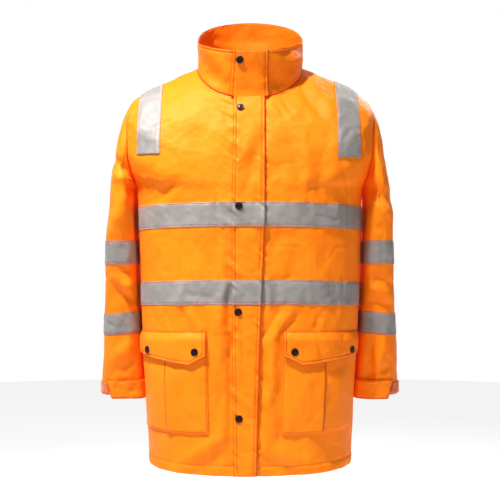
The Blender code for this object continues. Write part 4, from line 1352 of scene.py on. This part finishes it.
def area_light(name, place, target, size, power_watts, colour=(1, 1, 1), spread=180):
    data = bpy.data.lights.new(name, "AREA")
    data.shape = "DISK"
    data.size = size
    data.energy = power_watts
    data.color = colour
    data.spread = math.radians(spread)
    light = put(name, data)
    light.location = place
    light.rotation_euler = (Vector(target) - Vector(place)).to_track_quat("-Z", "Y").to_euler()


def add_stage():
    """A pale floor, a white room, soft lights and the camera."""
    bpy.ops.mesh.primitive_circle_add(vertices=96, radius=FLOOR_RADIUS, fill_type="NGON",
                                      location=(0, 0, FLOOR_LEVEL))
    floor = bpy.context.object
    floor.name = "floor"
    paper = Finish("floor_paper", 0.9, Base_Color=(0.9, 0.9, 0.9, 1), Emission_Color=(1, 1, 1, 1),
                   Emission_Strength=0.80)
    floor.data.materials.append(paper.material)

    world = bpy.data.worlds.new("studio")
    bpy.context.scene.world = world
    world.use_nodes = True
    tree = world.node_tree
    tree.nodes.clear()
    output = tree.nodes.new("ShaderNodeOutputWorld")
    seen, light = tree.nodes.new("ShaderNodeBackground"), tree.nodes.new("ShaderNodeBackground")
    for background, strength in ((seen, 1.0), (light, WORLD_LIGHT)):
        background.inputs["Color"].default_value = (1, 1, 1, 1)
        background.inputs["Strength"].default_value = strength
    mix, path = tree.nodes.new("ShaderNodeMixShader"), tree.nodes.new("ShaderNodeLightPath")
    tree.links.new(path.outputs["Is Camera Ray"], mix.inputs[0])
    tree.links.new(light.outputs[0], mix.inputs[1])
    tree.links.new(seen.outputs[0], mix.inputs[2])
    tree.links.new(mix.outputs[0], output.inputs[0])

    area_light("key", (-0.92, -1.08, 2.25), (-0.05, 0, -0.74), 0.26, 12.3, (1.0, 0.985, 0.96), 44)
    area_light("front_fill", (0.50, -2.5, 0.90), (0, 0, -0.35), 1.4, 6.5)
    area_light("back_key", (1.3, 1.7, 1.2), (0, 0, -0.3), 0.8, 34)
    area_light("back_fill", (-1.2, 2.4, 0.4), (0, 0, -0.35), 1.6, 11)

    data = bpy.data.cameras.new("camera")
    data.lens = CAMERA_LENS
    camera = put("camera", data)
    camera.location = (0, -CAMERA_DISTANCE, CAMERA_HEIGHT)
    camera.rotation_euler = (math.pi / 2, 0, 0)
    bpy.context.scene.camera = camera
    bpy.context.scene.view_settings.view_transform = "Standard"


def main():
    for old in list(bpy.data.objects):
        bpy.data.objects.remove(old)
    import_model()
    orange, tape_finish, thread = orange_cloth(), reflective_tape(), orange_thread()
    coral, black = hook_and_loop(), press_stud_black()
    made = add_body(orange, tape_finish)
    made.update(add_collar(orange))
    made.update(add_storm_flap(orange, tape_finish))
    for side, pocket in POCKETS.items():
        made.update(add_pocket(side, pocket, orange))
        made.update(add_sleeve(side, pocket.side, orange, tape_finish))
        made.update(add_cuff_trim(side, pocket.side, orange, coral))
        made.update(add_shoulder_tape(side, pocket.side, tape_finish))
    add_studs(made, black)
    sew_everything(made, thread)
    add_stage()


main()
